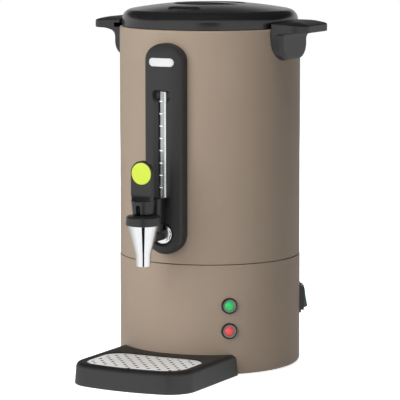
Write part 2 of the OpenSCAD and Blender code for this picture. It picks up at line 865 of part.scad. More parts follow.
module handle() {
  root_x = sqrt(casing_r * casing_r - root_half_w * root_half_w) - eps;
  face_x = pad_x - shield_t;
  tie_z = shelf_z + 2;
  difference() {
    union() {
      intersection() {
        translate([0, 0, shelf_z]) linear_extrude(shelf_h + eps) shelf_plan(0);
        shelf_crown(0);
      }
      hull() {
        shield(root_x, root_half_w, bracket_z, tie_z, root_corner_r);
        shield(face_x, pad_half_w, bracket_z + pad_rise, tie_z, pad_corner_r);
      }
      translate([face_x, pad_half_w, shelf_z]) rotate([90, 0, 0]) linear_extrude(2 * pad_half_w)
        difference() {
          translate([0, -shelf_fillet_r]) square(shelf_fillet_r);
          translate([shelf_fillet_r, -shelf_fillet_r]) circle(r = shelf_fillet_r);
        }
    }
    cylinder(r = casing_r, h = rim_top_z + seat, $fn = 128);
    translate([0, 0, rim_top_z]) cylinder(r = lid_r + lid_inset + 0.5, h = shelf_h + eps, $fn = 128);
    intersection() {
      translate([0, 0, shelf_z - eps]) linear_extrude(shelf_h + eps) difference() {
        shelf_plan(shelf_t);
        translate([0, -casing_r]) square([pad_x + shelf_fillet_r + shelf_t, 2 * casing_r]);
      }
      shelf_crown(shelf_t);
    }
    intersection() {
      translate([0, 0, lock_slot_z]) cylinder(r = casing_r + lock_slot_depth, h = lock_slot_h);
      translate([0, handle_half_w / 2, 0]) cube([casing_r + handle_reach, casing_r, rim_z + shelf_h]);
    }
    for (t = [-1, 1]) translate([casing_r / 2, t * handle_screw_y, handle_screw_z]) rotate([0, 90, 0])
      cylinder(d = screw_d + slip, h = casing_r / 2 + pad_reach - 2);
  }
}

module handle_right() {
  color("#232425") handle();
}

module handle_left() {
  color("#232425") rotate([0, 0, 180]) handle();
}

module handle_screws() {
  head_x = sqrt(pow(casing_in_r, 2) - pow(handle_screw_y + screw_head_d / 2, 2));
  color("#b9bcc0") for (s = [0, 180], t = [-1, 1]) rotate([0, 0, s])
    translate([head_x, t * handle_screw_y, handle_screw_z]) rotate([0, 90, 0])
      pan_screw(screw_d, casing_r + pad_reach - 3 - head_x);
}

// Gauge housing: one section carried up the straight part and turned round at both ends

module housing_half_section() {
  polygon(concat(
    [[0, 0], [housing_hw, 0], [housing_hw, edge_y]],
    arc(edge_x, edge_y, housing_edge_r, 0, 90 - edge_angle),
    arc(0, face_y, face_r, 90 - edge_angle, 90)));
}

module housing_blank() {
  straight = arch_z - tap_z;
  union() {
    translate([0, 0, tap_z]) linear_extrude(straight) rotate([0, 0, 180]) {
      housing_half_section();
      mirror([1, 0]) housing_half_section();
    }
    translate([0, 0, tap_z]) rotate([90, 0, 0]) rotate_extrude() housing_half_section();
    translate([0, 0, arch_z]) scale([1, 1, arch_flat]) rotate([90, 0, 0])
      rotate_extrude() housing_half_section();
  }
}

// The slot in front of the gauge tube, with a round floor and a round upper end
module gauge_slot() {
  r = slot_half_w;
  y = slot_floor_y + r;
  top = slot_top_z - r;
  translate([0, -y, tap_z]) cylinder(r = r, h = top - tap_z);
  translate([-r, -housing_y - eps, tap_z]) cube([2 * r, housing_y + eps - y, top - tap_z]);
  translate([0, -y, top]) sphere(r = r);
  front_cyl(r, y, housing_y + eps, top);
}

// The soft hollow round the slot: a wide shallow groove with a ball end above and below
module gauge_hollow() {
  translate([0, -hollow_y, tap_z]) cylinder(r = hollow_r, h = hollow_top_z - tap_z);
  for (z = [tap_z, hollow_top_z]) translate([0, -hollow_y, z]) sphere(r = hollow_r);
}

module gauge_housing() {
  badge_seat_r = face_r - badge_t / 2;
  color("#2a2b2c") difference() {
    housing_blank();
    translate([0, 0, seam_z]) cylinder(r = casing_r, h = rim_z, $fn = 128);
    gauge_slot();
    gauge_hollow();
    front_cyl(ring_d / 2 + ring_lip, ring_seat_y, housing_y + eps, tap_z);
    front_cyl(thread_r + slip, casing_r / 2, housing_y + eps, tap_z);
    translate([0, -tube_y, slot_top_z - slot_half_w]) cylinder(d = seal_d, h = slot_half_w + tube_socket);
    front_cyl(screw_d / 2 + slip / 2, casing_r / 2, housing_screw_y, housing_screw_z);
    badge_shape(badge_seat_r, face_r + eps, slip);
  }
}

module housing_screw() {
  y = sqrt(pow(casing_in_r, 2) - pow(screw_head_d / 2, 2));
  color("#b9bcc0") translate([0, -y, housing_screw_z]) rotate([90, 0, 0])
    pan_screw(screw_d, housing_screw_y - 1 - y);
}

// A stadium-shaped plate bent to the housing's face, between two radii of that face
module badge_shape(r0, r1, gap) {
  h = badge_h + 2 * gap;
  half = (badge_w + 2 * gap - h) / 2;
  intersection() {
    translate([0, -face_y, badge_z - h]) difference() {
      cylinder(r = r1, h = 2 * h, $fn = 128);
      translate([0, 0, -eps]) cylinder(r = r0, h = 2 * h + 2 * eps, $fn = 128);
    }
    union() {
      for (s = [-1, 1]) front_cyl(h / 2, face_y, housing_y + 2 * eps, badge_z, s * half);
      translate([-half, -housing_y - 2 * eps, badge_z - h / 2]) cube([2 * half, face_r + 2 * eps, h]);
    }
  }
}

module badge_plate() {
  color("#c4c6c8") badge_shape(face_r - badge_t / 2, face_r + badge_t / 2, 0);
}

module gauge_tube() {
  color("#d9e4ea", 0.5) translate([0, -tube_y, 0])
    ring(tube_d / 2, tube_d / 2 - tube_t, tube_foot_z, tube_top_z);
}

module gauge_seals() {
  h = 5;
  color("#1a1a1b") translate([0, -tube_y, 0]) {
    ring(seal_d / 2 - slip / 2, tube_d / 2 + slip / 2, tube_top_z - h, tube_top_z);
    ring(seal_d / 2 - slip / 2, tube_d / 2 + slip / 2, tube_foot_z, tube_foot_z + h);
  }
}

// Tap

module tap_shank() {
  inner_y = vessel_in_r - shank_seal_t - nut_t - 6;
  wall_x = sqrt(pow(spout_r_at(tap_z), 2) - shank_r * shank_r);
  end_y = tap_y - wall_x + spout_t / 2;
  channel = tube_d - 2 * tube_t;
  cross_z = tube_foot_z - 3;
  color("#1d1e1f") difference() {
    union() {
      front_cyl(thread_r, inner_y, ring_seat_y - 2, tap_z);
      front_cyl(shank_r, inner_y, end_y, tap_z);
      translate([0, -riser_y, tap_z]) cylinder(d = riser_w, h = riser_h);
      translate([0, -tube_y, riser_back_z]) cylinder(d = riser_w, h = riser_z - riser_back_z);
      translate([-riser_w / 2, -riser_y, riser_back_z])
        cube([riser_w, riser_y - tube_y, riser_z - riser_back_z]);
    }
    front_cyl(shank_bore_d / 2, inner_y - eps, tap_y, tap_z);
    translate([0, -riser_y, tap_z]) cylinder(d = channel, h = cross_z - tap_z + channel / 2);
    front_cyl(channel / 2, tube_y, riser_y, cross_z);
    translate([0, -tube_y, cross_z]) cylinder(d = channel, h = riser_z);
    translate([0, -tube_y, tube_foot_z]) cylinder(d = seal_d, h = riser_z);
    translate([0, -tap_y, mouth_z]) cylinder(r = spout_r_at(tap_z) - spout_t, h = spout_z - mouth_z);
  }
}

function spout_r_at(z) = nozzle_d / 2 + (spout_d - nozzle_d) / 2 * (z - cone_z) / (spout_z - cone_z);

module shank_ring() {
  r = ring_d / 2;
  bore = shank_r + slip;
  color("#d8dadc") translate([0, -ring_seat_y, tap_z]) rotate([90, 0, 0]) rotate_extrude()
    polygon(concat([[bore, 0], [r, 0]], arc(r - ring_t / 2, ring_t / 2, ring_t / 2, 0, 140),
      [[bore + 1, ring_t * 0.45], [bore, ring_t * 0.45]]));
}

module shank_seals() {
  r = nut_w / 2 - 1;
  color("#c9c4bb") intersection() {
    front_cyl(r, vessel_in_r / 2, vessel_in_r, tap_z);
    difference() {
      cylinder(r = vessel_in_r, h = rim_z, $fn = 128);
      front_cyl(thread_r + slip / 2, vessel_in_r / 2 - eps, vessel_in_r + eps, tap_z);
      translate([-r - eps, -nut_face_y(), 0]) cube([2 * (r + eps), 2 * vessel_in_r, rim_z]);
    }
  }
}

// Where the flat face of the shank nut lies, far enough in for its corners to clear the curved wall
function nut_face_y() = sqrt(pow(vessel_in_r, 2) - pow(nut_w / 2 / cos(30), 2)) - shank_seal_t;

module shank_nut() {
  color("#c9ccd0") translate([0, -nut_face_y() + nut_t, tap_z]) rotate([90, 0, 0])
    hex_nut(nut_w, thread_r + slip / 2, nut_t);
}

module spout() {
  r_in = spout_d / 2 - spout_t;
  color("#d8dadc") translate([0, -tap_y, 0]) difference() {
    rotate_extrude($fn = 96) polygon([
      [seat_bore_r, mouth_z], [nozzle_d / 2 - 0.8, mouth_z], [nozzle_d / 2 - 0.4, mouth_z + 1],
      [nozzle_d / 2, cone_z], [spout_d / 2, spout_z], [r_in, spout_z],
      [cup_r + 1, seat_z], [seat_bore_r, seat_z]]);
    translate([0, 0, tap_z]) rotate([-90, 0, 0]) cylinder(r = shank_r + slip / 2, h = spout_d);
  }
}

module bonnet() {
  r = bonnet_d / 2;
  bore = stem_d / 2 + run;
  edge = 3;
  top_lip = bonnet_z - 0.8;
  color("#1d1e1f") translate([0, -tap_y, 0]) rotate_extrude($fn = 96) polygon(concat(
    [[bore, spout_z - bonnet_spigot], [spout_d / 2 - spout_t - slip - 1.2, spout_z - bonnet_spigot],
     [spout_d / 2 - spout_t - slip, spout_z], [r - 0.6, spout_z], [r, spout_z + 1]],
    arc(r - edge - 1, top_lip - edge, edge, 0, 90),
    [[r - edge - 2, top_lip], [r - edge - 3, bonnet_z], [bore, bonnet_z]]));
}

module valve_stem() {
  z0 = seat_z + 3;
  top = pin_z + stem_eye;
  color("#c9ccd0") translate([0, -tap_y, 0]) difference() {
    union() {
      translate([0, 0, z0]) cylinder(d = stem_d, h = top - z0);
      translate([0, 0, z0]) cylinder(r = cup_r - 2.4, h = 2);
    }
    translate([-stem_d, 0, pin_z]) rotate([0, 90, 0]) cylinder(d = pin_d, h = 2 * stem_d);
  }
}

module seat_cup() {
  stem_r = stem_d / 2;
  knob_r = cup_r - 2.4;
  color("#e8e4dc") translate([0, -tap_y, 0]) rotate_extrude() polygon([
    [0, seat_z], [cup_r - 0.6, seat_z], [cup_r, seat_z + 1], [cup_r - 0.4, seat_z + cup_h],
    [stem_r, seat_z + cup_h], [stem_r, seat_z + 5], [knob_r, seat_z + 5], [knob_r, seat_z + 3],
    [0, seat_z + 3]]);
}

// Valve spring: one unbroken tube of six sides with a close end turn at each end

spring_rings = 8;
spring_sides = 6;
spring_count = spring_turns * spring_rings;
spring_span = spring_z1 - spring_z0 - spring_wire_d;

// Height of the wire's centre at ring i, flatter near both ends
function spring_rise(i) = let (t = i / spring_count) spring_span * (t - sin(360 * t) / 16);

function spring_point(i) = let (a = 360 * i / spring_rings)
  [spring_r * cos(a), spring_r * sin(a), spring_z0 + spring_wire_d / 2 + spring_rise(i)];

module valve_spring() {
  n = spring_sides;
  ring_points = [for (i = [0 : spring_count]) let (a = 360 * i / spring_rings, p = spring_point(i))
    for (j = [0 : n - 1]) let (b = 360 * j / n, w = spring_wire_d / 2)
      p + w * [cos(b) * cos(a), cos(b) * sin(a), sin(b)]];
  sides = [for (i = [0 : spring_count - 1], j = [0 : n - 1]) let (k = (j + 1) % n)
    each [[i * n + j, (i + 1) * n + j, (i + 1) * n + k], [i * n + j, (i + 1) * n + k, i * n + k]]];
  caps = [for (j = [1 : n - 2]) each [[0, j, j + 1],
    [spring_count * n, spring_count * n + j + 1, spring_count * n + j]]];
  color("#b9bcc0") translate([0, -tap_y, 0]) polyhedron(ring_points, concat(sides, caps));
}

spring_gap = min([for (i = [0 : spring_count - spring_rings])
  norm(spring_point(i + spring_rings) - spring_point(i)) - spring_wire_d]);
echo(least_spring_gap = spring_gap);

module lever_pin() {
  color("#c9ccd0") translate([-pin_l / 2, -tap_y, pin_z]) rotate([0, 90, 0]) cylinder(d = pin_d, h = pin_l);
}

// Lever: a round base that rocks on its cam edge, scooped in front, with a flat round-topped paddle
module tap_lever() {
  back_y = tap_y + paddle_front - paddle_t;
  cheek_d = pin_d + 2 * run;
  slot_h = pin_rise + stem_eye + 3;
  color("#1d1e1f") difference() {
    union() {
      translate([0, -tap_y, lever_z])
        cylinder(r1 = lever_base_r - lever_taper, r2 = lever_base_r, h = step_z - lever_z);
      translate([0, -tap_y, step_z]) cylinder(r = lever_base_r, h = scoop_r);
      front_cyl(paddle_r, back_y, tap_y + paddle_front, paddle_cz);
      translate([-paddle_r, -tap_y - paddle_front, step_z])
        cube([2 * paddle_r, paddle_t, paddle_cz - step_z]);
    }
    translate([-lever_base_d, -tap_y - paddle_front - scoop_r, step_z + scoop_r]) rotate([0, 90, 0])
      cylinder(r = scoop_r, h = 2 * lever_base_d);
    translate([-lever_base_d, -tap_y - lever_base_d, step_z])
      cube([2 * lever_base_d, lever_base_d - paddle_front - scoop_r, scoop_r + eps]);
    translate([-lever_base_d, -back_y + scoop_r, step_z + scoop_r]) rotate([0, 90, 0])
      cylinder(r = scoop_r, h = 2 * lever_base_d);
    lever_toe();
    translate([-lever_slot_w / 2, -tap_y - lever_base_d, lever_z - eps])
      cube([lever_slot_w, lever_base_d + lever_slot_w / 2, slot_h + eps]);
    translate([-lever_slot_w / 2, -tap_y, pin_z]) rotate([0, 90, 0])
      cylinder(r = norm([stem_d / 2, stem_eye]) + seat, h = lever_slot_w);
    translate([-lever_base_d, -tap_y, pin_z]) rotate([0, 90, 0]) cylinder(d = cheek_d, h = 2 * lever_base_d);
    front_cyl(disc_d / 2 + slip, tap_y + paddle_front - disc_t / 2, tap_y + lever_base_d, paddle_cz);
  }
}

// What is cut from the front of the base below the pin, leaving the round cam edge
module lever_toe() {
  y = tap_y + cam_offset;
  difference() {
    translate([-lever_base_d, -y - lever_base_d, lever_z - eps])
      cube([2 * lever_base_d, lever_base_d, pin_z - lever_z + eps]);
    translate([-lever_base_d - eps, -y, pin_z]) rotate([0, 90, 0])
      cylinder(r = cam_r, h = 2 * lever_base_d + 2 * eps);
  }
}

module lever_disc() {
  y0 = tap_y + paddle_front - disc_t / 2;
  color("#d8ea4e") front_cyl(disc_d / 2, y0, y0 + disc_t, paddle_cz);
}

// Lid

// Half section of the lid's outside, drawn in by an inset and carried down below its edge
module lid_section(inset, below = 0) {
  side = lid_r - inset;
  a = acos(dome_s / (dome_r - lid_shoulder_r));
  polygon(concat([[0, lid_z - below], [side, lid_z - below], [side, lid_side_z]],
    arc(dome_s, lid_side_z, lid_shoulder_r - inset, 0, a),
    arc(0, dome_z, dome_r - inset, a, 90, 16)));
}

module lid() {
  well_out = grip_r + lid_t;
  spigot_r = gasket_r - gasket_t;
  color("#232425") difference() {
    union() {
      rotate_extrude($fn = 128) difference() {
        lid_section(0);
        difference() {
          lid_section(lid_t, eps);
          translate([0, grip_floor_z - lid_t]) square([well_out, lid_rise]);
          translate([spigot_r - spigot_t, lid_z - eps]) square([spigot_t, lid_rise]);
        }
      }
      ring(spigot_r, spigot_r - spigot_t, lid_z - spigot_depth, lid_z + eps);
      vent_lip();
    }
    difference() {
      translate([0, 0, grip_floor_z]) cylinder(r = grip_r, h = lid_rise);
      grip_bar();
    }
    vent_slot(0, vent_y, lid_rise + 3);
  }
}

// A stadium slot through the lid's dome, grown by a margin
module vent_slot(margin, y, h) {
  half = (vent_w - vent_b) / 2;
  r = vent_b / 2 + margin;
  translate([0, -y, lid_side_z]) {
    for (s = [-1, 1]) translate([s * half, 0, 0]) cylinder(r = r, h = h);
    translate([-half, -r, 0]) cube([2 * half, 2 * r, h]);
  }
}

function dome_z_at(r) = dome_z + sqrt(dome_r * dome_r - r * r);

// A low raised lip round the vent slot
module vent_lip() {
  lip_w = 1.6;
  lip_h = 0.8;
  z = dome_z_at(vent_y) - lid_t;
  intersection() {
    vent_slot(lip_w, vent_y, lid_rise);
    translate([0, 0, dome_z]) difference() {
      sphere(r = dome_r + lip_h, $fn = 128);
      translate([0, 0, z - dome_z - dome_r]) cube(2 * dome_r + 2, center = true);
    }
  }
}

// The grip bar across the recess, waisted below its rounded upper edge
module grip_bar() {
  hw = grip_bar_w / 2;
  waist = hw - 4;
  edge = 1;
  z0 = grip_floor_z - eps;
  z1 = lid_top_z - 0.5;
  lip_z = z1 - 3;
  neck_z = z1 - 7;
  translate([-grip_d, 0, 0]) rotate([90, 0, 90]) linear_extrude(2 * grip_d)
    polygon([[-waist, z0], [waist, z0], [waist, neck_z], [hw, lip_z], [hw, z1 - edge], [hw - edge, z1],
      [edge - hw, z1], [-hw, z1 - edge], [-hw, lip_z], [-waist, neck_z]]);
}

module lid_gasket() {
  h = 4;
  z = lid_z - spigot_depth + 1;
  color("#d6d2c8") ring(gasket_r, gasket_r - gasket_t, z, z + h);
}

// Percolator

module pump_tube() {
  neck = bell_z + bell_h;
  color("#c9ccd0") rotate_extrude() polygon([
    [bell_r, foot_plate_z], [pump_r, neck], [pump_r, basket_z - collar_t - seat],
    [collar_r, basket_z - collar_t - seat], [collar_r, basket_z - seat], [pump_r, basket_z - seat],
    [pump_r, pump_top_z], [pump_r - pump_t, pump_top_z], [pump_r - pump_t, neck - 1],
    [bell_r - 1.5 * sheet_t, foot_plate_z]]);
}

module pump_foot() {
  hole_r = (valve_r + valve_in_r) / 2;
  color("#c9ccd0") difference() {
    translate([0, 0, bell_z]) cylinder(r = bell_r, h = sheet_t);
    for (a = [0 : 60 : 300]) rotate([0, 0, a]) translate([hole_r, 0, bell_z - eps])
      cylinder(d = drain_d, h = sheet_t + 2 * eps);
  }
}

module pump_valve() {
  z = foot_plate_z + seat;
  color("#c9ccd0") ring(valve_r, valve_in_r, z, z + valve_t);
}

module filter_basket() {
  z = basket_z;
  screen_r = basket_r - screen_ledge;
  color("#c9ccd0") rotate_extrude($fn = 96) union() {
    translate([screen_r, z]) square([basket_r - screen_r, sheet_t]);
    translate([basket_r - sheet_t, z]) square([sheet_t, basket_h]);
  }
}

// Rings of drain holes between two radii, each ring with holes about two diameters apart
module drain_rings(r0, r1, z0, h) {
  rows = 5;
  pitch = 3.2 * drain_d;
  for (k = [0 : rows - 1])
    let (r = r0 + (r1 - r0) * (k + 0.5) / rows, n = floor(2 * PI * r / pitch))
      for (i = [0 : n - 1]) rotate([0, 0, 360 / n * (i + k / 2)])
        translate([r, 0, z0]) cylinder(d = drain_d, h = h);
}

module basket_screen() {
  z = basket_z + sheet_t;
  sleeve_top = basket_z + basket_h - sleeve_below;
  color("#c9ccd0") difference() {
    union() {
      translate([0, 0, z]) cylinder(r = basket_r - sheet_t - slip, h = sheet_t);
      translate([0, 0, basket_z]) cylinder(r = sleeve_r + sheet_t, h = sleeve_top - basket_z);
    }
    translate([0, 0, basket_z - eps]) cylinder(r = sleeve_r, h = basket_h + 2 * eps);
    drain_rings(sleeve_r + screen_holes[0], basket_r - screen_holes[1], z - eps, sheet_t + 2 * eps);
  }
}

module basket_spreader() {
  z = spreader_z;
  lip_r = basket_r + spreader_clear;
  color("#c9ccd0") difference() {
    rotate_extrude($fn = 96) polygon([[sleeve_r, z], [lip_r + sheet_t, z], [lip_r + sheet_t, z + spreader_lip],
      [lip_r, z + spreader_lip], [lip_r, z + sheet_t], [sleeve_r, z + sheet_t]]);
    drain_rings(sleeve_r + spreader_holes[0], basket_r - spreader_holes[1], z - eps, sheet_t + 2 * eps);
  }
}

// Drip tray

// Points of an outline with straight sides, round front corners and a bowed front, drawn towards +Y
function bowed_outline(hw, front, bow_r, corner_r, back) =
  let (bow_y = front - bow_r, x = hw - corner_r, bow = bow_r - corner_r,
    y = bow_y + sqrt(bow * bow - x * x), half = asin(x / bow), step = 2 * half / bow_steps)
  concat([[hw, back]], arc(x, y, corner_r, 0, 90 - half),
    arc(0, bow_y, bow_r, 90 - half + step, 90 + half - step, bow_steps - 2),
    arc(-x, y, corner_r, 90 + half, 180), [[-hw, back]]);

// The tray's outline drawn in by an inset, left long at the back
function tray_outline(inset) = bowed_outline(tray_half_w - inset, tray_front - inset,
  tray_bow_r - inset, tray_corner_r - inset, tray_end_y);

// The outline of the grid's place drawn in by an inset
function grid_outline(inset) = bowed_outline(grid_hw - inset, grid_front - inset,
  tray_bow_r - grid_inset - inset, grid_corner_r - inset, grid_back_y + inset);

// The tray's block: its outline carried up the wall and in over the rounded upper edge
module tray_block() {
  r = tray_edge_r;
  insets = concat([[0, 0]], arc(tray_draft + r, tray_h - r, r, 180, 90, edge_steps));
  rings = [for (p = insets) [for (q = tray_outline(p[0])) [q[0], q[1], p[1]]]];
  n = len(rings[0]);
  top = (len(rings) - 1) * n;
  sides = [for (k = [0 : len(rings) - 2], i = [0 : n - 1]) let (j = (i + 1) % n)
    [k * n + i, (k + 1) * n + i, (k + 1) * n + j, k * n + j]];
  polyhedron([for (ring = rings) each ring],
    concat([[for (i = [0 : n - 1]) i]], [[for (i = [0 : n - 1]) top + n - 1 - i]], sides));
}

module drip_tray() {
  ledge_z = grid_z - grid_t;
  well_floor = tray_floor_z + tray_floor_t;
  color("#232425") rotate([0, 0, 180]) difference() {
    tray_block();
    translate([0, 0, -eps]) cylinder(r = tray_back_r, h = tray_h + 2 * eps, $fn = 256);
    translate([0, 0, ledge_z]) linear_extrude(tray_h) polygon(grid_outline(0));
    translate([0, 0, well_floor]) linear_extrude(tray_h) polygon(grid_outline(ledge_w));
    translate([0, 0, -eps]) linear_extrude(tray_floor_z + eps) polygon(tray_outline(tray_draft + 2 * tray_t));
    translate([0, 0, -eps]) difference() {
      linear_extrude(ledge_z - tray_t + eps) polygon(tray_outline(tray_draft + tray_t));
      translate([0, 0, -eps]) linear_extrude(tray_h) polygon(grid_outline(ledge_w - tray_t));
      translate([0, 0, -eps]) cylinder(r = tray_back_r + tray_t, h = tray_h, $fn = 256);
    }
  }
}

module drip_grid() {
  margin = 8;
  rows = floor((grid_front - grid_back_y - 2 * margin) / grid_pitch_y);
  columns = floor((grid_hw - margin) / grid_pitch_x);
  row_y = (grid_front + grid_back_y) / 2 - (rows - 1) / 2 * grid_pitch_y;
  r = grid_slot_w / 2;
  reach = grid_slot_l / 2 - r;
  color("#d4d6d8") rotate([0, 0, 180]) translate([0, 0, grid_z - grid_t + seat]) difference() {
    linear_extrude(grid_t) polygon(grid_outline(grid_clear));
    for (j = [0 : rows - 1], i = [-columns : columns - j % 2])
      translate([(i + (j % 2) / 2) * grid_pitch_x, row_y + j * grid_pitch_y, -eps])
        linear_extrude(grid_t + 2 * eps) {
          for (s = [-1, 1]) translate([s * reach, 0]) circle(r = r);
          translate([-reach, -r]) square([2 * reach, 2 * r]);
        }
  }
}

upper_casing();
base_casing();
inner_vessel();
base_plate();
rubber_feet();
base_screws();
brew_element();
keep_warm_element();
heater_clamp();
clamp_nut();
thermostat();
thermal_cutout();
terminal_block();
green_lamp_bezel();
green_lamp_lens();
red_lamp_bezel();
red_lamp_lens();
lamp_nuts();
switch_frame();
switch_rocker();
cable_gland();
gland_nut();
handle_left();
handle_right();
handle_screws();
gauge_housing();
housing_screw();
badge_plate();
gauge_tube();
gauge_seals();
tap_shank();
shank_ring();
shank_seals();
shank_nut();
spout();
bonnet();
valve_stem();
seat_cup();
valve_spring();
lever_pin();
tap_lever();
lever_disc();
lid();
lid_gasket();
pump_tube();
pump_foot();
pump_valve();
filter_basket();
basket_screen();
basket_spreader();
drip_tray();
drip_grid();
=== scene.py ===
import json
from math import radians
from types import SimpleNamespace
import bmesh
import bpy
import numpy as np
import openvdb
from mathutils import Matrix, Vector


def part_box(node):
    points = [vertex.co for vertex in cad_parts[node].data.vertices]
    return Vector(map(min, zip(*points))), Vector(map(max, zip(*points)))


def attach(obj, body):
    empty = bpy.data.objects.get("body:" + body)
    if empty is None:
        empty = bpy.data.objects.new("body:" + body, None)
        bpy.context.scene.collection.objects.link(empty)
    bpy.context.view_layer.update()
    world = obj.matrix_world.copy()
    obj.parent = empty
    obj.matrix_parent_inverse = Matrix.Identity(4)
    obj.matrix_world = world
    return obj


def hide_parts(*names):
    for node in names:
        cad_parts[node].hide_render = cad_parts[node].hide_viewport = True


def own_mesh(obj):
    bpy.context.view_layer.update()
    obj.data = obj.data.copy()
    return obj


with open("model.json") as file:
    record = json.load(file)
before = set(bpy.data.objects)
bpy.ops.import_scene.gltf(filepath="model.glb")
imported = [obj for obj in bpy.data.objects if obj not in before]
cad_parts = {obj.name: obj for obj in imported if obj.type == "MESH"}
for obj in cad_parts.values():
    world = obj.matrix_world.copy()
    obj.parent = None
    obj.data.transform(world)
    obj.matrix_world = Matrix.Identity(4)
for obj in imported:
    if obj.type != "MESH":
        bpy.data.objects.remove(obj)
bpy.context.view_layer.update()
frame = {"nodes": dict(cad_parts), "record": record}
nodes = frame["nodes"]
mm = 0.001
print("frame loaded:", len(nodes), "nodes")


# Camera, light and floor, in metres

# The photograph is taken from 27 degrees to the right of the tap, a little above the lid
view = dict(place=(1.4602, -2.8215, 0.6128), turn=27.363, down=7.431, lens=234.57, sensor=36, farthest=50,
            axisPixel=210.0, imageSize=400)
viewTurn = radians(view["turn"])
towardsCamera = (np.sin(viewTurn), -np.cos(viewTurn), 0.0)
tapFoot = (0, -0.17, 0)  # the place on the table under the tap


def linked(name, data):
    # A new object in the scene, at the origin
    obj = bpy.data.objects.new(name, data)
    bpy.context.scene.collection.objects.link(obj)
    return obj


def makeCamera():
    data = bpy.data.cameras.new("photoCamera")
    data.lens = view["lens"]
    data.sensor_width = view["sensor"]
    data.shift_x = (view["imageSize"] / 2 - view["axisPixel"]) / view["imageSize"]
    data.clip_end = view["farthest"]
    camera = linked("photoCamera", data)
    camera.location = view["place"]
    camera.rotation_euler = (radians(90 - view["down"]), 0, viewTurn)
    bpy.context.scene.camera = camera


def srgb(text):
    # sRGB hex to linear: c / 12.92 below 0.04045, else ((c + 0.055) / 1.055) ** 2.4
    c = np.array([int(text[i:i + 2], 16) for i in (1, 3, 5)]) / 255
    linear = np.where(c <= 0.04045, c / 12.92, ((c + 0.055) / 1.055) ** 2.4)
    return (*linear.tolist(), 1.0)


def add(tree, kind, inputs=(), **settings):
    # One node. Each input takes a socket, a node's first output or a plain value, and the settings are the
    # node's own.
    node = tree.nodes.new("ShaderNode" + kind)
    for key, value in settings.items():
        setattr(node, key, value)
    for key, value in dict(inputs).items():
        if isinstance(value, bpy.types.Node):
            value = value.outputs[0]
        if isinstance(value, bpy.types.NodeSocket):
            tree.links.new(value, node.inputs[key])
        else:
            node.inputs[key].default_value = value
    return node


def seenBy(tree):
    # The share of the camera's own rays, and that of the rays which metal and glass send on
    path = add(tree, "LightPath")
    clear = add(tree, "Math", {0: path.outputs["Is Glossy Ray"], 1: path.outputs["Is Transmission Ray"]},
                operation="MAXIMUM")
    return path.outputs["Is Camera Ray"], clear


# Angles run from the camera's own direction, positive to the right in the picture
lamps = dict(keyLeft=dict(angle=-43, distance=2.1, height=0.92, size=(1.5, 1.9), power=40),
             backFill=dict(angle=178, distance=2.4, height=1.1, size=(1.0, 1.4), power=18),
             overhead=dict(angle=0, distance=0.3, height=2.2, size=(1.2, 1.2), power=22))
lampAim = 0.22  # the height that they all point at


def makeLamps():
    for name, spec in lamps.items():
        s = SimpleNamespace(**spec)
        turn = radians(view["turn"] + s.angle)
        data = bpy.data.lights.new(name, "AREA")
        data.shape = "RECTANGLE"
        data.size, data.size_y = s.size
        data.energy = s.power
        lamp = linked(name, data)
        lamp.location = (s.distance * np.sin(turn), -s.distance * np.cos(turn), s.height)
        lamp.rotation_euler = (radians(90) - np.arctan2(s.height - lampAim, s.distance), 0, turn)
        lamp.visible_glossy = False


room = dict(horizon=0.97, zenith=0.04, ambient=0.22, behind=0.75, sideTurn=(-0.8, 0.6), ceiling=(0.17, 0.31),
            frontRise=0.45)


def makeWorld():
    # A white room with a dark ceiling: bright up to the sine of a height, which is more on the camera's side,
    # and less bright behind the object. The camera sees plain white.
    r = SimpleNamespace(**room)
    world = bpy.data.worlds.new("whiteRoom")
    bpy.context.scene.world = world
    world.use_nodes = True
    tree = world.node_tree
    tree.nodes.clear()
    camera, clear = seenBy(tree)
    way = add(tree, "TexCoord").outputs["Generated"]
    height = add(tree, "SeparateXYZ", {"Vector": way}).outputs["Z"]
    facing = add(tree, "VectorMath", {0: way, 1: towardsCamera}, operation="DOT_PRODUCT").outputs["Value"]
    rise = add(tree, "MapRange", {"Value": facing, "To Max": r.frontRise})
    high = add(tree, "Math", {0: height, 1: rise}, operation="SUBTRACT")
    level = add(tree, "MapRange", {"Value": high, "From Min": r.ceiling[0], "From Max": r.ceiling[1],
                                   "To Min": r.horizon, "To Max": r.zenith}, interpolation_type="SMOOTHSTEP")
    side = add(tree, "MapRange", {"Value": facing, "From Min": r.sideTurn[0], "From Max": r.sideTurn[1],
                                  "To Min": r.behind, "To Max": 1.0})
    bright = add(tree, "Math", {0: level, 1: side}, operation="MULTIPLY")
    soft = add(tree, "Math", {0: level, 1: r.ambient}, operation="MULTIPLY")
    seen = add(tree, "Mix", {"Factor": clear, 2: soft, 3: bright})
    shown = add(tree, "Mix", {"Factor": camera, 2: seen, 3: 1.0})
    back = add(tree, "Background", {"Color": (1, 1, 1, 1), "Strength": shown})
    add(tree, "OutputWorld", {"Surface": back})


floor = dict(half=6.0, gap=0.0002, colour="#F2F2F1", liftNear=0.86, liftFar=1.0, near=0.35, far=1.6,
             glossBehind=0.45, glossFront=1.04, glossTurn=(-1.0, 0.4))


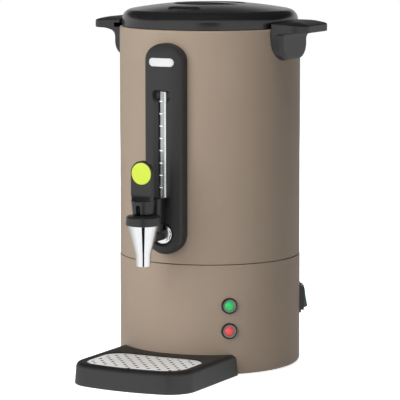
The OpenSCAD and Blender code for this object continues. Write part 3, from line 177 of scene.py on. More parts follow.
def makeFloor():
    # A pale matt table. What the camera sees of it is lifted to white, so only the shadow shows, and metal
    # and glass see a plain pale card.
    f = SimpleNamespace(**floor)
    h = f.half
    mesh = bpy.data.meshes.new("paleFloor")
    mesh.from_pydata([(-h, -h, 0), (h, -h, 0), (h, h, 0), (-h, h, 0)], [], [(0, 1, 2, 3)])
    obj = linked("paleFloor", mesh)
    obj.location.z = -f.gap
    material = bpy.data.materials.new("paleMattTable")
    material.use_nodes = True
    tree = material.node_tree
    tree.nodes.clear()
    camera, clear = seenBy(tree)
    place = add(tree, "TexCoord").outputs["Object"]
    # The camera's lift grows with the distance from the object, as the lamps' light falls off
    away = add(tree, "VectorMath", {0: place}, operation="LENGTH").outputs["Value"]
    lift = add(tree, "MapRange", {"Value": away, "From Min": f.near, "From Max": f.far,
                                  "To Min": f.liftNear, "To Max": f.liftFar})
    plain = add(tree, "Math", {0: camera, 1: lift}, operation="MULTIPLY")
    # In reflections it is brighter on the camera's side, by the cosine of the turn round the tap
    fromTap = add(tree, "VectorMath", {0: place, 1: tapFoot}, operation="SUBTRACT")
    heading = add(tree, "VectorMath", {0: fromTap}, operation="NORMALIZE")
    facing = add(tree, "VectorMath", {0: heading, 1: towardsCamera}, operation="DOT_PRODUCT").outputs["Value"]
    gloss = add(tree, "MapRange", {"Value": facing, "From Min": f.glossTurn[0], "From Max": f.glossTurn[1],
                                   "To Min": f.glossBehind, "To Max": f.glossFront})
    share = add(tree, "Math", {0: clear, 1: gloss, 2: plain}, operation="MULTIPLY_ADD")
    white = add(tree, "Emission", {"Color": (1, 1, 1, 1), "Strength": share})
    matt = add(tree, "BsdfDiffuse", {"Color": srgb(f.colour)})
    lit = add(tree, "MixShader", {0: clear, 1: matt})
    mixed = add(tree, "AddShader", {0: lit, 1: white})
    add(tree, "OutputMaterial", {"Surface": mixed})
    mesh.materials.append(material)


# Near and far ends of the low card: distance from the tap and width
flags = dict(colour="#0A0A0A", near=(0.15, 0.07), far=(1.3, 0.59), behind=4.2, high=1.4, lift=0.002)


def makeFlags():
    # Dark cards before and behind the camera, seen only in reflections and through glass. Polished pieces
    # show them as a dark stripe.
    f = SimpleNamespace(**flags)
    out = np.array(towardsCamera)
    right = np.array([-out[1], out[0], 0])
    (nearOut, nearWide), (farOut, farWide) = f.near, f.far
    wide = farWide * f.behind / farOut
    # Each corner: distance towards the camera, twice the distance to the right, and height
    corners = np.array([(nearOut, -nearWide, 0), (nearOut, nearWide, 0), (farOut, farWide, 0),
                        (farOut, -farWide, 0), (f.behind, -wide, 0), (f.behind, wide, 0),
                        (f.behind, wide, f.high), (f.behind, -wide, f.high)])
    points = corners @ np.array([out, right / 2, (0, 0, 1)]) + tapFoot + [0, 0, f.lift]
    mesh = bpy.data.meshes.new("darkFlags")
    mesh.from_pydata(points.tolist(), [], [(0, 1, 2, 3), (4, 5, 6, 7)])
    obj = linked("darkFlags", mesh)
    material = bpy.data.materials.new("darkCloth")
    material.use_nodes = True
    shader = material.node_tree.nodes["Principled BSDF"]
    shader.inputs["Base Color"].default_value = srgb(f.colour)
    shader.inputs["Roughness"].default_value = 1.0
    mesh.materials.append(material)
    obj.visible_camera = False
    obj.visible_diffuse = False
    obj.visible_shadow = False


bpy.context.scene.view_settings.view_transform = "Standard"
makeCamera()
makeWorld()
makeLamps()
makeFloor()
makeFlags()
print("camera, light and floor made")


# Finishes

# Each finish: its colour and a second one that mottles it in patches, roughness low and high, and a grain
# with its height. Grain, height and patch are in mm, and a grain that is too fine to show is drawn coarser.
# A painted foot shade is the foot's colour and the heights, in metres, between which it gives way to the
# finish's own: shade and reflection painted darker towards the foot.
finishes = {
    # Powder coat on steel sheet: baked, satin, with a fine orange peel
    "casing_paint": dict(name="taupePowderCoat", colour="#A69585", mottle="#9F8E7D",
                         rough=(0.42, 0.50), grain=1.1, height=0.010, patch=60, ior=1.34),
    # ABS moulded in a finely eroded tool: black, satin
    "black_plastic": dict(name="mouldedBlackAbs", colour="#212122", mottle="#1D1D1E",
                          rough=(0.36, 0.44), grain=0.7, height=0.010, patch=25, ior=1.56),
    # The lid comes from a finer tool and is wiped often: smoother. The tray's and housing's are coarser.
    "lid_plastic": dict(name="wipedBlackAbs", colour="#202021", mottle="#1C1C1D",
                        rough=(0.20, 0.26), grain=0.9, height=0.004, patch=40, ior=1.56),
    "tray_plastic": dict(name="texturedBlackAbs", colour="#1D1D1E", mottle="#19191A",
                         rough=(0.50, 0.60), grain=0.9, height=0.014, patch=25, ior=1.72),
    "housing_plastic": dict(name="mattBlackAbs", colour="#2E2E2F", mottle="#2A2A2B",
                            rough=(0.46, 0.56), grain=0.8, height=0.012, patch=25, ior=1.48),
    # Glass-filled polyamide of the tap: a little smoother than the covers
    "tap_plastic": dict(name="mouldedBlackPolyamide", colour="#202020", mottle="#1C1C1C",
                        rough=(0.32, 0.40), grain=0.6, height=0.008, patch=15, ior=1.56),
    # Polished nylon of the panel parts: deep black with small clear highlights
    "gloss_black": dict(name="polishedBlackNylon", colour="#161617", mottle="#131314",
                        rough=(0.18, 0.26), grain=0.8, height=0.003, patch=10),
    # Chrome plate on brass: bright and nearly smooth
    "chrome": dict(name="chromePlatedBrass", colour="#F3F4F5", mottle="#EDEEF0",
                   rough=(0.05, 0.09), grain=2.5, height=0.001, patch=12, metallic=1.0),
    # Deep drawn stainless sheet, brushed upright and hazy from use, so it scatters some light
    "stainless": dict(name="brushedStainlessSheet", colour="#C3C5C7", mottle="#B7B9BB",
                      rough=(0.26, 0.40), grain=0.6, height=0.004, patch=40, metallic=0.6,
                      stretch=(1, 1, 0.05)),
    # Stamped stainless grid, bead blasted: it scatters the room, so it looks nearly white
    "polished_steel": dict(name="blastedStainlessSheet", colour="#FEFEFE", mottle="#F8F8F8",
                           rough=(0.44, 0.56), grain=0.9, height=0.004, patch=20, metallic=0.1),
    # Zinc plate: bluish grey with small spangles
    "screw_zinc": dict(name="zincPlatedSteel", colour="#B9BCC0", mottle="#A8ABAF",
                       rough=(0.28, 0.42), grain=0.8, height=0.004, patch=4, metallic=1.0),
    # Sheath of nickel steel, dark and dull from its own heat
    "element_sheath": dict(name="oxidisedNickelSteel", colour="#5E6062", mottle="#4C4A47",
                           rough=(0.45, 0.6), grain=1.2, height=0.008, patch=9, metallic=1.0),
    # Pressed aluminium sheet: grey, with the soft marks of its tool
    "clamp_aluminium": dict(name="pressedAluminium", colour="#B4B7BA", mottle="#A6A9AC",
                            rough=(0.35, 0.5), grain=0.9, height=0.006, patch=8, metallic=1.0),
    # Satin plate, brushed crosswise and lacquered: pale from every side
    "badge_aluminium": dict(name="satinAluminiumPlate", colour="#E8EAEC", mottle="#E0E2E4",
                            rough=(0.34, 0.44), grain=0.5, height=0.002, patch=8, metallic=0.55,
                            stretch=(0.05, 1, 1)),
    # Moulded rubber and silicone: dull, with a soft skin
    "rubber": dict(name="nitrileRubber", colour="#1D1D1E", mottle="#191919",
                   rough=(0.7, 0.85), grain=0.9, height=0.02, patch=10),
    "silicone": dict(name="foodSilicone", colour="#D6D2C8", mottle="#CDC8BC",
                     rough=(0.5, 0.62), grain=1.2, height=0.006, patch=14),
    # Pressed and fired ceramic: cream and chalky
    "sensor_plastic": dict(name="steatiteCeramic", colour="#DCD7C8", mottle="#CFC9B8",
                           rough=(0.5, 0.65), grain=0.7, height=0.008, patch=6),
    # Polycarbonate collar round a lamp's lens, moulded: an even grey with a satin skin
    "collar_grey": dict(name="greyPolycarbonate", colour="#83867F", mottle="#7B7E77",
                        rough=(0.24, 0.32), grain=0.8, height=0.002, patch=6),
    # Print under lacquer on the lever's disc: flat bright lime, a little glossy
    "lime_disc": dict(name="lacqueredLimePrint", colour="#CFE246", mottle="#CADE40",
                      rough=(0.26, 0.34), grain=1.0, height=0.002, patch=12),
    # Tinted acrylic, lit from behind: clear colour under a smooth skin
    "green_lens": dict(name="greenAcrylic", colour="#30CC6E", mottle="#28BF64",
                       rough=(0.08, 0.14), grain=1.6, height=0.002, patch=5, transmission=0.15, ior=1.49,
                       glow=0.30),
    "red_lens": dict(name="redAcrylic", colour="#E4565C", mottle="#D84A50",
                     rough=(0.08, 0.14), grain=1.6, height=0.002, patch=5, transmission=0.15, ior=1.49,
                     glow=0.30),
    # Tinted polycarbonate, unlit: deep colour
    "green_rocker": dict(name="darkGreenPolycarbonate", colour="#0E5A34", mottle="#0C4F2E",
                         rough=(0.14, 0.22), grain=1.4, height=0.002, patch=8, transmission=0.12,
                         ior=1.58),
    # White enamel fused on the glass; the glow stands for the light that the round glass gathers on it
    "enamel_white": dict(name="whiteEnamel", colour="#F1F2F0", mottle="#ECEDEB",
                         rough=(0.2, 0.28), grain=1.0, height=0.002, patch=10, glow=0.42),
    # Painted shade: a grey stripe on the tube's left side stands for the shade on its white backing there,
    # painted darker towards the foot as a reflection of the dark lever and trough; its glow is painted light,
    # like the white stripe's. It is fused to the glass, so it has no sheen
    "enamel_grey": dict(name="paintedShadeEnamel", colour="#BFBFBE", mottle="#B6B6B5",
                        rough=(0.5, 0.6), grain=1.0, height=0.002, patch=10, ior=1.05,
                        paintedFootShade=("#787877", 0.254, 0.278), glow=0.35),
    # Borosilicate glass, drawn: clear and very smooth
    "clear_tube": dict(name="clearBorosilicate", colour="#F4F8F8", mottle="#EFF4F5",
                       rough=(0.02, 0.05), grain=3.0, height=0.001, patch=30, transmission=1.0, ior=1.47),
}
noise = dict(detail=2.0, span=(0.3, 0.7))  # most values of a noise lie in this span


def makeFinish(name, colour, mottle, rough, grain, height, patch, stretch=(1, 1, 1), metallic=0.0,
               transmission=0.0, ior=None, glow=None, paintedFootShade=None):
    material = bpy.data.materials.new(name)
    material.use_nodes = True
    tree = material.node_tree
    shader = tree.nodes["Principled BSDF"]
    shader.inputs["Metallic"].default_value = metallic
    shader.inputs["Transmission Weight"].default_value = transmission
    if ior:
        shader.inputs["IOR"].default_value = ior
    place = add(tree, "TexCoord").outputs["Object"]
    along = add(tree, "Mapping", {"Vector": place, "Scale": stretch})
    # A noise cell is about 1 / scale metres across
    patches = add(tree, "TexNoise", {"Vector": place, "Scale": 1 / mm / patch, "Detail": noise["detail"]})
    grains = add(tree, "TexNoise", {"Vector": along, "Scale": 1 / mm / grain, "Detail": noise["detail"]})
    mixed = add(tree, "Mix", {"Factor": patches, 6: srgb(colour), 7: srgb(mottle)}, data_type="RGBA")
    tint = mixed.outputs[2]
    # Painted shade: below the given heights the colour darkens to the foot's colour
    if paintedFootShade:
        foot, low, high = paintedFootShade
        level = add(tree, "SeparateXYZ", {"Vector": place}).outputs["Z"]
        climb = add(tree, "MapRange", {"Value": level, "From Min": low, "From Max": high})
        tint = add(tree, "Mix", {"Factor": climb, 6: srgb(foot), 7: tint}, data_type="RGBA").outputs[2]
    if glow:
        shader.inputs["Emission Strength"].default_value = glow
        tree.links.new(tint, shader.inputs["Emission Color"])
    dull = add(tree, "MapRange", {"Value": grains, "From Min": noise["span"][0], "From Max": noise["span"][1],
                                  "To Min": rough[0], "To Max": rough[1]})
    bump = add(tree, "Bump", {"Height": grains, "Strength": 1.0, "Distance": height * mm})
    tree.links.new(tint, shader.inputs["Base Color"])
    tree.links.new(dull.outputs[0], shader.inputs["Roughness"])
    tree.links.new(bump.outputs[0], shader.inputs["Normal"])
    return material


# Each finish is made under its own key, and each CAD node takes the finish of its slot in the record
materials = {slotName: makeFinish(**spec) for slotName, spec in finishes.items()}
slotOf = {part["node"]: part["material_slot"] for part in frame["record"]["subparts"]}
for nodeName, node in nodes.items():
    node.data.materials.clear()
    node.data.materials.append(materials[slotOf[nodeName]])
print("finishes made:", len(materials))


# Shapes, in millimetres

def cadBoxMm(node):
    low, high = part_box(node)
    return np.array(low) / mm, np.array(high) / mm


def cadMiddle(node):
    low, high = cadBoxMm(node)
    return (low + high) / 2


def roundedPath(corners, radii, steps=6):
    # Each corner becomes an arc that touches both its edges: the arc's centre lies r / sin(half angle) along
    # the bisector. Leading axes are stations, so a whole row of sections is worked out at once.
    p = np.asarray(corners, float)
    tiny = 1e-9
    u = np.roll(p, 1, axis=-2) - p
    v = np.roll(p, -1, axis=-2) - p
    lengthU = np.linalg.norm(u, axis=-1)
    lengthV = np.linalg.norm(v, axis=-1)
    u = u / (lengthU + tiny)[..., None]
    v = v / (lengthV + tiny)[..., None]
    half = np.arccos(np.clip((u * v).sum(-1), -1, 0.9999)) / 2
    longest = 0.48 * np.minimum(lengthU, lengthV) * np.tan(half)  # two arcs share an edge without meeting
    r = np.minimum(np.broadcast_to(np.asarray(radii, float), half.shape), longest)
    reach = (r / np.tan(half))[..., None]
    middle = u + v
    middle = middle / (np.linalg.norm(middle, axis=-1) + tiny)[..., None]
    centre = p + middle * (r / np.sin(half))[..., None]
    first = p + u * reach - centre
    last = p + v * reach - centre
    a0 = np.arctan2(first[..., 1], first[..., 0])
    sweep = np.arctan2(last[..., 1], last[..., 0]) - a0
    sweep = (sweep + np.pi) % (2 * np.pi) - np.pi
    a = a0[..., None] + sweep[..., None] * np.linspace(0, 1, steps + 1)
    arcs = centre[..., None, :] + r[..., None, None] * np.stack([np.cos(a), np.sin(a)], -1)
    return arcs.reshape(*p.shape[:-2], -1, 2)


def spacedOut(start, *stretches):
    # Values from start on, evenly spaced within each stretch, which is its end and its count
    values = np.array([start])
    for end, count in stretches:
        values = np.append(values, np.linspace(values[-1], end, count)[1:])
    return values


def gridFaces(rows, columns, wrapRows, wrapColumns):
    # Quads between neighbours on a grid of points, closed round where asked
    i = np.arange(rows if wrapRows else rows - 1)[:, None]
    j = np.arange(columns if wrapColumns else columns - 1)[None]
    a = i * columns + j
    b = (i + 1) % rows * columns + j
    c = (i + 1) % rows * columns + (j + 1) % columns
    d = i * columns + (j + 1) % columns
    return np.stack([a, b, c, d], -1).reshape(-1, 4)


def joined(*parts):
    # Several point and face arrays as one
    points = np.concatenate([p for p, f in parts])
    starts = np.cumsum([0] + [len(p) for p, f in parts[:-1]])
    return points, [[int(i + s) for i in face] for (p, f), s in zip(parts, starts) for face in f]


def turned(outline, steps=160, axis=(0, 0, 1), foot=(0, 0, 0)):
    # A closed outline of (radius, height) turned round an axis through foot, upright or level
    axis = np.asarray(axis, float)
    side = np.array([1.0, 0, 0]) if axis[2] else np.array([-axis[1], axis[0], 0])
    other = np.cross(axis, side)
    a = np.linspace(0, 2 * np.pi, steps, endpoint=False)[:, None, None]
    radial = np.cos(a) * side + np.sin(a) * other
    points = np.asarray(foot, float) + outline[:, :1] * radial + outline[:, 1:] * axis
    return points.reshape(-1, 3), gridFaces(steps, len(outline), True, True)


def lofted(sections):
    # Closed sections in a row, joined by quads and shut by a face at each end
    count, n = sections.shape[:2]
    faces = gridFaces(count, n, False, True).tolist()
    faces.append(list(range(n)))
    faces.append(list(range((count - 1) * n, count * n))[::-1])
    return sections.reshape(-1, 3), faces


def fieldShape(field, low, high, step):
    # The skin on which a field of distances is nought, found on an even grid of points
    axes = [np.arange(a, b + step, step) for a, b in zip(low, high)]
    values = field(*np.meshgrid(*axes, indexing="ij", sparse=True))
    volume = openvdb.FloatGrid(float(values.max()))
    volume.copyFromArray(np.ascontiguousarray(values, dtype=np.float32))
    points, faces = volume.convertToQuads()
    return points * step + np.array(low), faces


merging = dict(seam=2e-6, sliver=1e-7)  # metres


def meshOf(name, shape):
    # Points in millimetres become a mesh in metres, with seams and poles merged and faces turned outwards
    points, faces = shape
    mesh = bpy.data.meshes.new(name)
    mesh.from_pydata((np.asarray(points) * mm).tolist(), [], [list(f) for f in faces])
    bm = bmesh.new()
    bm.from_mesh(mesh)
    bmesh.ops.remove_doubles(bm, verts=bm.verts, dist=merging["seam"])
    bmesh.ops.dissolve_degenerate(bm, edges=bm.edges, dist=merging["sliver"])
    bmesh.ops.recalc_face_normals(bm, faces=bm.faces)
    bm.to_mesh(mesh)
    bm.free()
    return mesh


def shade(mesh, sharp):
    # Smooth, but for edges that turn by more than an angle
    mesh.shade_smooth()
    mesh.set_sharp_from_angle(angle=radians(sharp))


def addPiece(name, shape, finish, body, stands=(), sharp=38):
    # A piece that rides on a body and stands for CAD nodes
    mesh = meshOf(name, shape)
    shade(mesh, sharp)
    obj = linked(name, mesh)
    mesh.materials.append(materials[finish])
    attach(obj, body)
    if stands:
        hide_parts(*stands)
    return obj


def carve(obj, shape):
    # Cuts a closed shape out of a piece and keeps the result in its mesh
    mesh = meshOf("cutter", shape)
    cutter = linked("cutter", mesh)
    step = obj.modifiers.new("cut", "BOOLEAN")
    step.operation = "DIFFERENCE"
    step.solver = "EXACT"
    step.object = cutter
    bpy.context.view_layer.update()
    result = bpy.data.meshes.new_from_object(obj.evaluated_get(bpy.context.evaluated_depsgraph_get()))
    obj.modifiers.clear()
    obj.data = result
    bpy.data.objects.remove(cutter)
    bpy.data.meshes.remove(mesh)


# Nodes shown with their edges rounded over: the piece's name, its body and the width of the rounding
softEdges = {"switch_frame": ("switch_frame_moulding", "urn", 0.5),
             "switch_rocker": ("switch_rocker_key", "rocker", 0.5),
             "tap_shank": ("tap_shank_body", "urn", 0.6),
             "cable_gland": ("cable_gland_body", "urn", 0.5)}
bevel = dict(merge=0.01, flat=1, sharp=38, segments=3)


def softened(node, name, body, width):
    # A merged copy of a CAD node, its flat faces made whole, with a bevel on every sharp edge
    s = SimpleNamespace(**bevel)
    mesh = nodes[node].data.copy()
    mesh.name = name
    if mesh.has_custom_normals:
        mesh.normals_split_custom_set_from_vertices([(0, 0, 0)] * len(mesh.vertices))
    bm = bmesh.new()
    bm.from_mesh(mesh)
    bmesh.ops.remove_doubles(bm, verts=bm.verts, dist=s.merge * mm)
    bmesh.ops.dissolve_limit(bm, angle_limit=radians(s.flat), verts=bm.verts, edges=bm.edges)
    bm.to_mesh(mesh)
    bm.free()
    obj = linked(name, mesh)
    edge = obj.modifiers.new("softEdge", "BEVEL")
    edge.width = width * mm
    edge.segments = s.segments
    edge.limit_method = "ANGLE"
    edge.angle_limit = radians(s.sharp)
    edge.harden_normals = True
    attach(obj, body)
    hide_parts(node)


def smoothMin(a, b, k):
    # The lower of two surfaces with the corner between them rounded over a width of about k
    h = np.clip(0.5 + 0.5 * (b - a) / k, 0, 1)
    return b * (1 - h) + a * h - k * h * (1 - h)


def smoothMax(a, b, k):
    # The higher of two surfaces, rounded in the same way
    return -smoothMin(-a, -b, k)


def smoothStep(t):
    # 3 t^2 - 2 t^3, level at both ends
    t = np.clip(t, 0, 1)
    return t * t * (3 - 2 * t)


def cornerField(u, v, r):
    # Distance from a quarter of a rounded rectangle whose sides lie at u = 0 and v = 0
    return np.hypot(np.maximum(u + r, 0), np.maximum(v + r, 0)) + np.minimum(np.maximum(u, v) + r, 0) - r


# Casings: drawn sheet with a rolled top edge, and a base that stands a little proud below the seam
casings = dict(sheet=1.2, lip=7.0, baseLip=13.0, footLip=1.5, seamGap=0.8, seamRound=0.5, topRound=1.6,
               footRound=8.0, lipRound=0.5, cutRound=0.3, switchHalf=(11.6, 15.1), switchCut=20.0, steps=256)


def makeCasings():
    c = SimpleNamespace(**casings)
    low, high = cadBoxMm("upper_casing")
    r, z0, z1 = high[0], low[2] + c.seamGap, high[2]
    inner, lip, under = r - c.sheet, r - c.lip, z1 - c.sheet
    upper = roundedPath([(r, z0), (r, z1), (lip, z1), (lip, under), (inner, under), (inner, z0)],
                        [c.seamRound, c.topRound, c.lipRound, c.lipRound, c.cutRound, c.cutRound], steps=8)
    addPiece("upper_casing_skin", turned(upper, c.steps), "casing_paint", "urn", ["upper_casing"])

    low, high = cadBoxMm("base_casing")
    r, z0, z1 = high[0], low[2], high[2]
    inner, lip, under = r - c.sheet, r - c.baseLip, z1 - c.sheet
    foot, floorZ = r - c.footRound - c.footLip, z0 + c.sheet
    base = roundedPath([(r, z0), (r, z1), (lip, z1), (lip, under), (inner, under), (inner, floorZ),
                        (foot, floorZ), (foot, z0)],
                       [c.footRound, c.seamRound, c.cutRound, c.cutRound, c.lipRound, c.footRound - c.sheet,
                        c.cutRound, c.cutRound], steps=12)
    skin = addPiece("base_casing_skin", turned(base, c.steps), "casing_paint", "urn", ["base_casing"])
    # The switch's opening: a block that runs outwards from the axis
    x, y, z = cadMiddle("switch_frame")
    out = np.array([x, y, 0]) / np.hypot(x, y)
    square = np.array([(-1, -1), (1, -1), (1, 1), (-1, 1)]) * c.switchHalf
    corners = out * r + [0, 0, z] + square @ np.array([(-out[1], out[0], 0), (0, 0, 1)])
    carve(skin, lofted(np.stack([corners - out * c.switchCut, corners + out * c.switchCut])))


makeCasings()
print("casings made")

# Gauge housing: a crowned moulding with a soft trough down its face for the gauge tube. Floors and seats are
# distances from the urn's axis. The walls of the slot, the mouth and the recess are slopes, in mm outwards
# for each mm across. The mouth is the half width of its straight part, its half height and its floor. The
# grid of points is finer where the slot's edges, foot and top lie: each stretch is its end and its count.
housing = dict(crown=6.0, edgeRound=6.0, archFlat=0.8, wallTop=4.0, seatSink=0.2, hollowHalf=12.5,
               hollowRadius=22.0, hollowSoft=2.2, hollowArch=6.0, hollowFade=0.3, fadeRise=8.0,
               slotHalf=4.4, slotFloor=116.0, slotFoot=207.0, slotWall=5.0, slotEase=0.8, slotSoft=1.2,
               mouth=(7.6, 2.2, 119.2), mouthWall=2.5, mouthDrop=0.5, topCover=4.0, tubeSocket=8.0,
               ringRecess=14.2, ringSeat=121.0, recessWall=7.0, recessSoft=1.0, arcSteps=56, topSteps=8,
               across=((16.5, 4), (6.5, 26), (3.5, 22), (0, 6)),
               along=((196, 14), (216, 34), (324, 36), (350, 60)))


def housingFace():
    # The face is a circle through the crown and both edges, whose radius is (half^2 + crown^2) / (2 crown)
    low, high = cadBoxMm("gauge_housing")
    half, front = high[0], -low[1]
    radius = (half ** 2 + housing["crown"] ** 2) / (2 * housing["crown"])
    return low, high, half, front, radius


def makeHousing():
    h = SimpleNamespace(**housing)
    low, high, half, front, faceR = housingFace()
    e = h.edgeRound
    centre = front - faceR
    lowerZ = low[2] + half
    upperZ = high[2] - h.archFlat * half
    edgeX = half - e
    edgeY = centre + np.sqrt((faceR - e) ** 2 - edgeX ** 2)
    tilt = np.pi / 2 - np.arcsin(edgeX / (faceR - e))
    casingR = cadBoxMm("upper_casing")[1][0]

    def onCasing(x):
        # How far forward the casing's round face lies, and a little into it
        return np.sqrt(casingR ** 2 - x ** 2) - h.seatSink

    # Across: the wall from the casing, the rounded edge, then the face in to the middle line
    turn = np.linspace(0, tilt, 12)
    faceW = spacedOut(edgeX + e * np.cos(tilt), *h.across)[1:]
    w = np.concatenate([[half, half], edgeX + e * np.cos(turn), faceW])
    f = np.concatenate([[0, edgeY - h.wallTop], edgeY + e * np.sin(turn),
                        centre + np.sqrt(faceR ** 2 - faceW ** 2)])
    # Along: up the right side, over the flattened arch, down the left side and round the lower end
    sideZ = spacedOut(lowerZ, *h.along, (upperZ, h.topSteps))
    up = np.linspace(0, np.pi, h.arcSteps)[1:-1]
    down = np.linspace(np.pi, 2 * np.pi, h.arcSteps)[1:-1]
    one = np.ones(len(sideZ))
    dx = np.concatenate([one, np.cos(up), -one, np.cos(down)])[:, None]
    dz = np.concatenate([0 * one, h.archFlat * np.sin(up), 0 * one, np.sin(down)])[:, None]
    cz = np.concatenate([sideZ, upperZ + 0 * up, sideZ[::-1], lowerZ + 0 * down])[:, None]
    x = w * dx
    z = cz + w * dz
    # The hollow is part of a cylinder that lies before the face, with a flat arch above and a ball end below;
    # the slot in its floor holds the tube
    slotTop = cadBoxMm("gauge_tube")[1][2] - h.tubeSocket
    hollowY = front + np.sqrt(h.hollowRadius ** 2 - h.hollowHalf ** 2)
    stretch = h.hollowHalf / h.hollowArch
    off = np.hypot(x, stretch * np.maximum(z - slotTop + h.hollowArch, 0) + np.minimum(z - lowerZ, 0))
    hollow = hollowY - np.sqrt(np.maximum(h.hollowRadius ** 2 - off ** 2, 0))
    hollow = hollow + h.hollowFade * np.maximum(h.slotFoot + h.fadeRise - z, 0)
    off = np.hypot(x, np.minimum(z - h.slotFoot, 0))
    above = z - slotTop + h.topCover
    slot = h.slotFloor + h.slotWall * np.maximum(np.maximum(off - h.slotHalf + h.slotEase, above), 0)
    # A low mouth across the top, where the tube goes in: steep above, running out gently below
    wide, tall, deep = h.mouth
    climb = above - h.mouthDrop + tall
    off = np.hypot(np.maximum(np.abs(x) - wide, 0), np.where(climb > 0, climb, climb / 2))
    mouth = deep + h.mouthWall * np.maximum(off - tall, 0)
    trough = smoothMin(smoothMin(hollow, slot, h.slotSoft), mouth, h.slotSoft)
    recess = h.ringSeat + h.recessWall * np.maximum(np.hypot(x, z - lowerZ) - h.ringRecess, 0)
    y = smoothMin(smoothMin(f + 0 * x, trough, h.hollowSoft), recess, h.recessSoft)
    y[:, 0] = onCasing(x[:, 0])
    y[:, 1] = f[1]
    shell = np.stack([x, -y, z], -1)
    # The back lies on the casing
    inner = np.linspace(1, 0, 7)[1:]
    backX, backZ = half * inner * dx, cz + half * inner * dz
    seat = np.stack([backX, -onCasing(backX), backZ], -1)
    surface = np.concatenate([seat[:, ::-1], shell], axis=1)
    shape = surface.reshape(-1, 3), gridFaces(*surface.shape[:2], True, False)
    addPiece("gauge_housing_cover", shape, "housing_plastic", "urn", ["gauge_housing"], sharp=50)


# Bare plate on the housing, bent to the face, with a soft edge. Its rings are shares of its half height.
badge = dict(thickness=0.8, edge=0.35, backRings=(0, 0.5, 1), frontRings=(0.8, 0.5, 0), steps=96)


def makeBadge():
    b = SimpleNamespace(**badge)
    low, high = cadBoxMm("badge_plate")
    front, faceR = housingFace()[3:]
    r = (high[2] - low[2]) / 2
    reach = high[0] - r
    turn = np.linspace(0, np.pi / 2, 6)
    e, t = b.edge, b.thickness / 2
    w = np.concatenate([r * np.array(b.backRings), r - e + e * np.cos(turn), r * np.array(b.frontRings)])
    lift = np.concatenate([[-t, -t, -t], t - e + e * np.sin(turn), [t, t, t]])
    a = np.linspace(0, 2 * np.pi, b.steps, endpoint=False)[:, None]
    # Straight strips join the two half discs, so the middle line stays a line
    x = w * np.cos(a) + reach * np.sign(np.cos(a)) * (np.abs(np.cos(a)) > 1e-6)
    z = (low[2] + high[2]) / 2 + w * np.sin(a)
    y = front - faceR + np.sqrt(faceR ** 2 - x ** 2) + lift
    shape = np.stack([x, -y, z], -1).reshape(-1, 3), gridFaces(b.steps, len(w), True, False)
    addPiece("badge_plate_face", shape, "badge_aluminium", "urn", ["badge_plate"])


# Gauge tube with a white enamel stripe fused along its back, a grey stripe beside it that is painted shade of
# the tube's left side, and level marks round its front.
# Angles run from the front to the right. The stripes stop short of the tube's foot and top.
gauge = dict(wall=0.5, edgeRound=0.4, white=(94, 184), grey=(189, 282), stripeIn=(0.25, 0.05),
             stripeFree=(4, 1), markAngles=(-62, 18), markLift=(0.02, 0.14), markHeight=1.1, marks=8,
             firstMark=227.6, markStep=14.65)


def bentPlate(foot, radii, angles, heights, steps=14):
    # A closed piece of a tube wall between two radii, two angles and two heights
    a = np.radians(np.linspace(*angles, steps))[:, None]
    r = np.array(radii)[[0, 1, 1, 0]]
    z = np.array(heights)[[0, 0, 1, 1]]
    return lofted(np.stack([foot[0] + r * np.sin(a), foot[1] - r * np.cos(a), z + 0 * a], -1))


def makeGauge():
    g = SimpleNamespace(**gauge)
    low, high = cadBoxMm("gauge_tube")
    foot = cadMiddle("gauge_tube")[:2]
    z0, z1 = low[2], high[2]
    r = (high[0] - low[0]) / 2
    inside = r - g.wall
    outline = roundedPath([(inside, z0), (r, z0), (r, z1), (inside, z1)], g.edgeRound, steps=4)
    addPiece("gauge_tube_glass", turned(outline, 64, foot=(*foot, 0)), "clear_tube", "urn", ["gauge_tube"])
    stripeR = inside - np.array(g.stripeIn)
    stripeZ = z0 + g.stripeFree[0], z1 - g.stripeFree[1]
    # The grey stripe is painted shade, darker towards the foot as a painted reflection
    for colour, angles in (("white", g.white), ("grey", g.grey)):
        stripe = bentPlate(foot, stripeR, angles, stripeZ, steps=24)
        addPiece("gauge_stripe_" + colour, stripe, "enamel_" + colour, "urn")
    levels = g.firstMark + g.markStep * np.arange(g.marks)
    markR, t = r + np.array(g.markLift), g.markHeight / 2
    rings = [bentPlate(foot, markR, g.markAngles, (z - t, z + t)) for z in levels]
    addPiece("level_marks", joined(*rings), "enamel_white", "urn")


# Tap: chromed spout under a moulded bonnet. The bonnet's insets run from its outer radius, up its side and
# in over its top.
tap = dict(wall=2.4, nozzleHigh=13.0, nozzle=9.0, nozzleTaper=0.4, bore=6.0, throat=(1.5, 2.0, 1.0),
           spoutRounds=(0.6, 0.9, 20, 0.5, 0.5, 2, 1), stemHole=2.6, spigot=(14.2, 15.4),
           bonnetInset=(0.3, 0.9, 7.0, 7.6), bonnetLip=0.8, ringBore=7.1, ringEdge=0.2, steps=128,
           bonnetRounds=(0, 0.6, 0.3, 1.2, 2.6, 0.4, 0.4, 0.3))


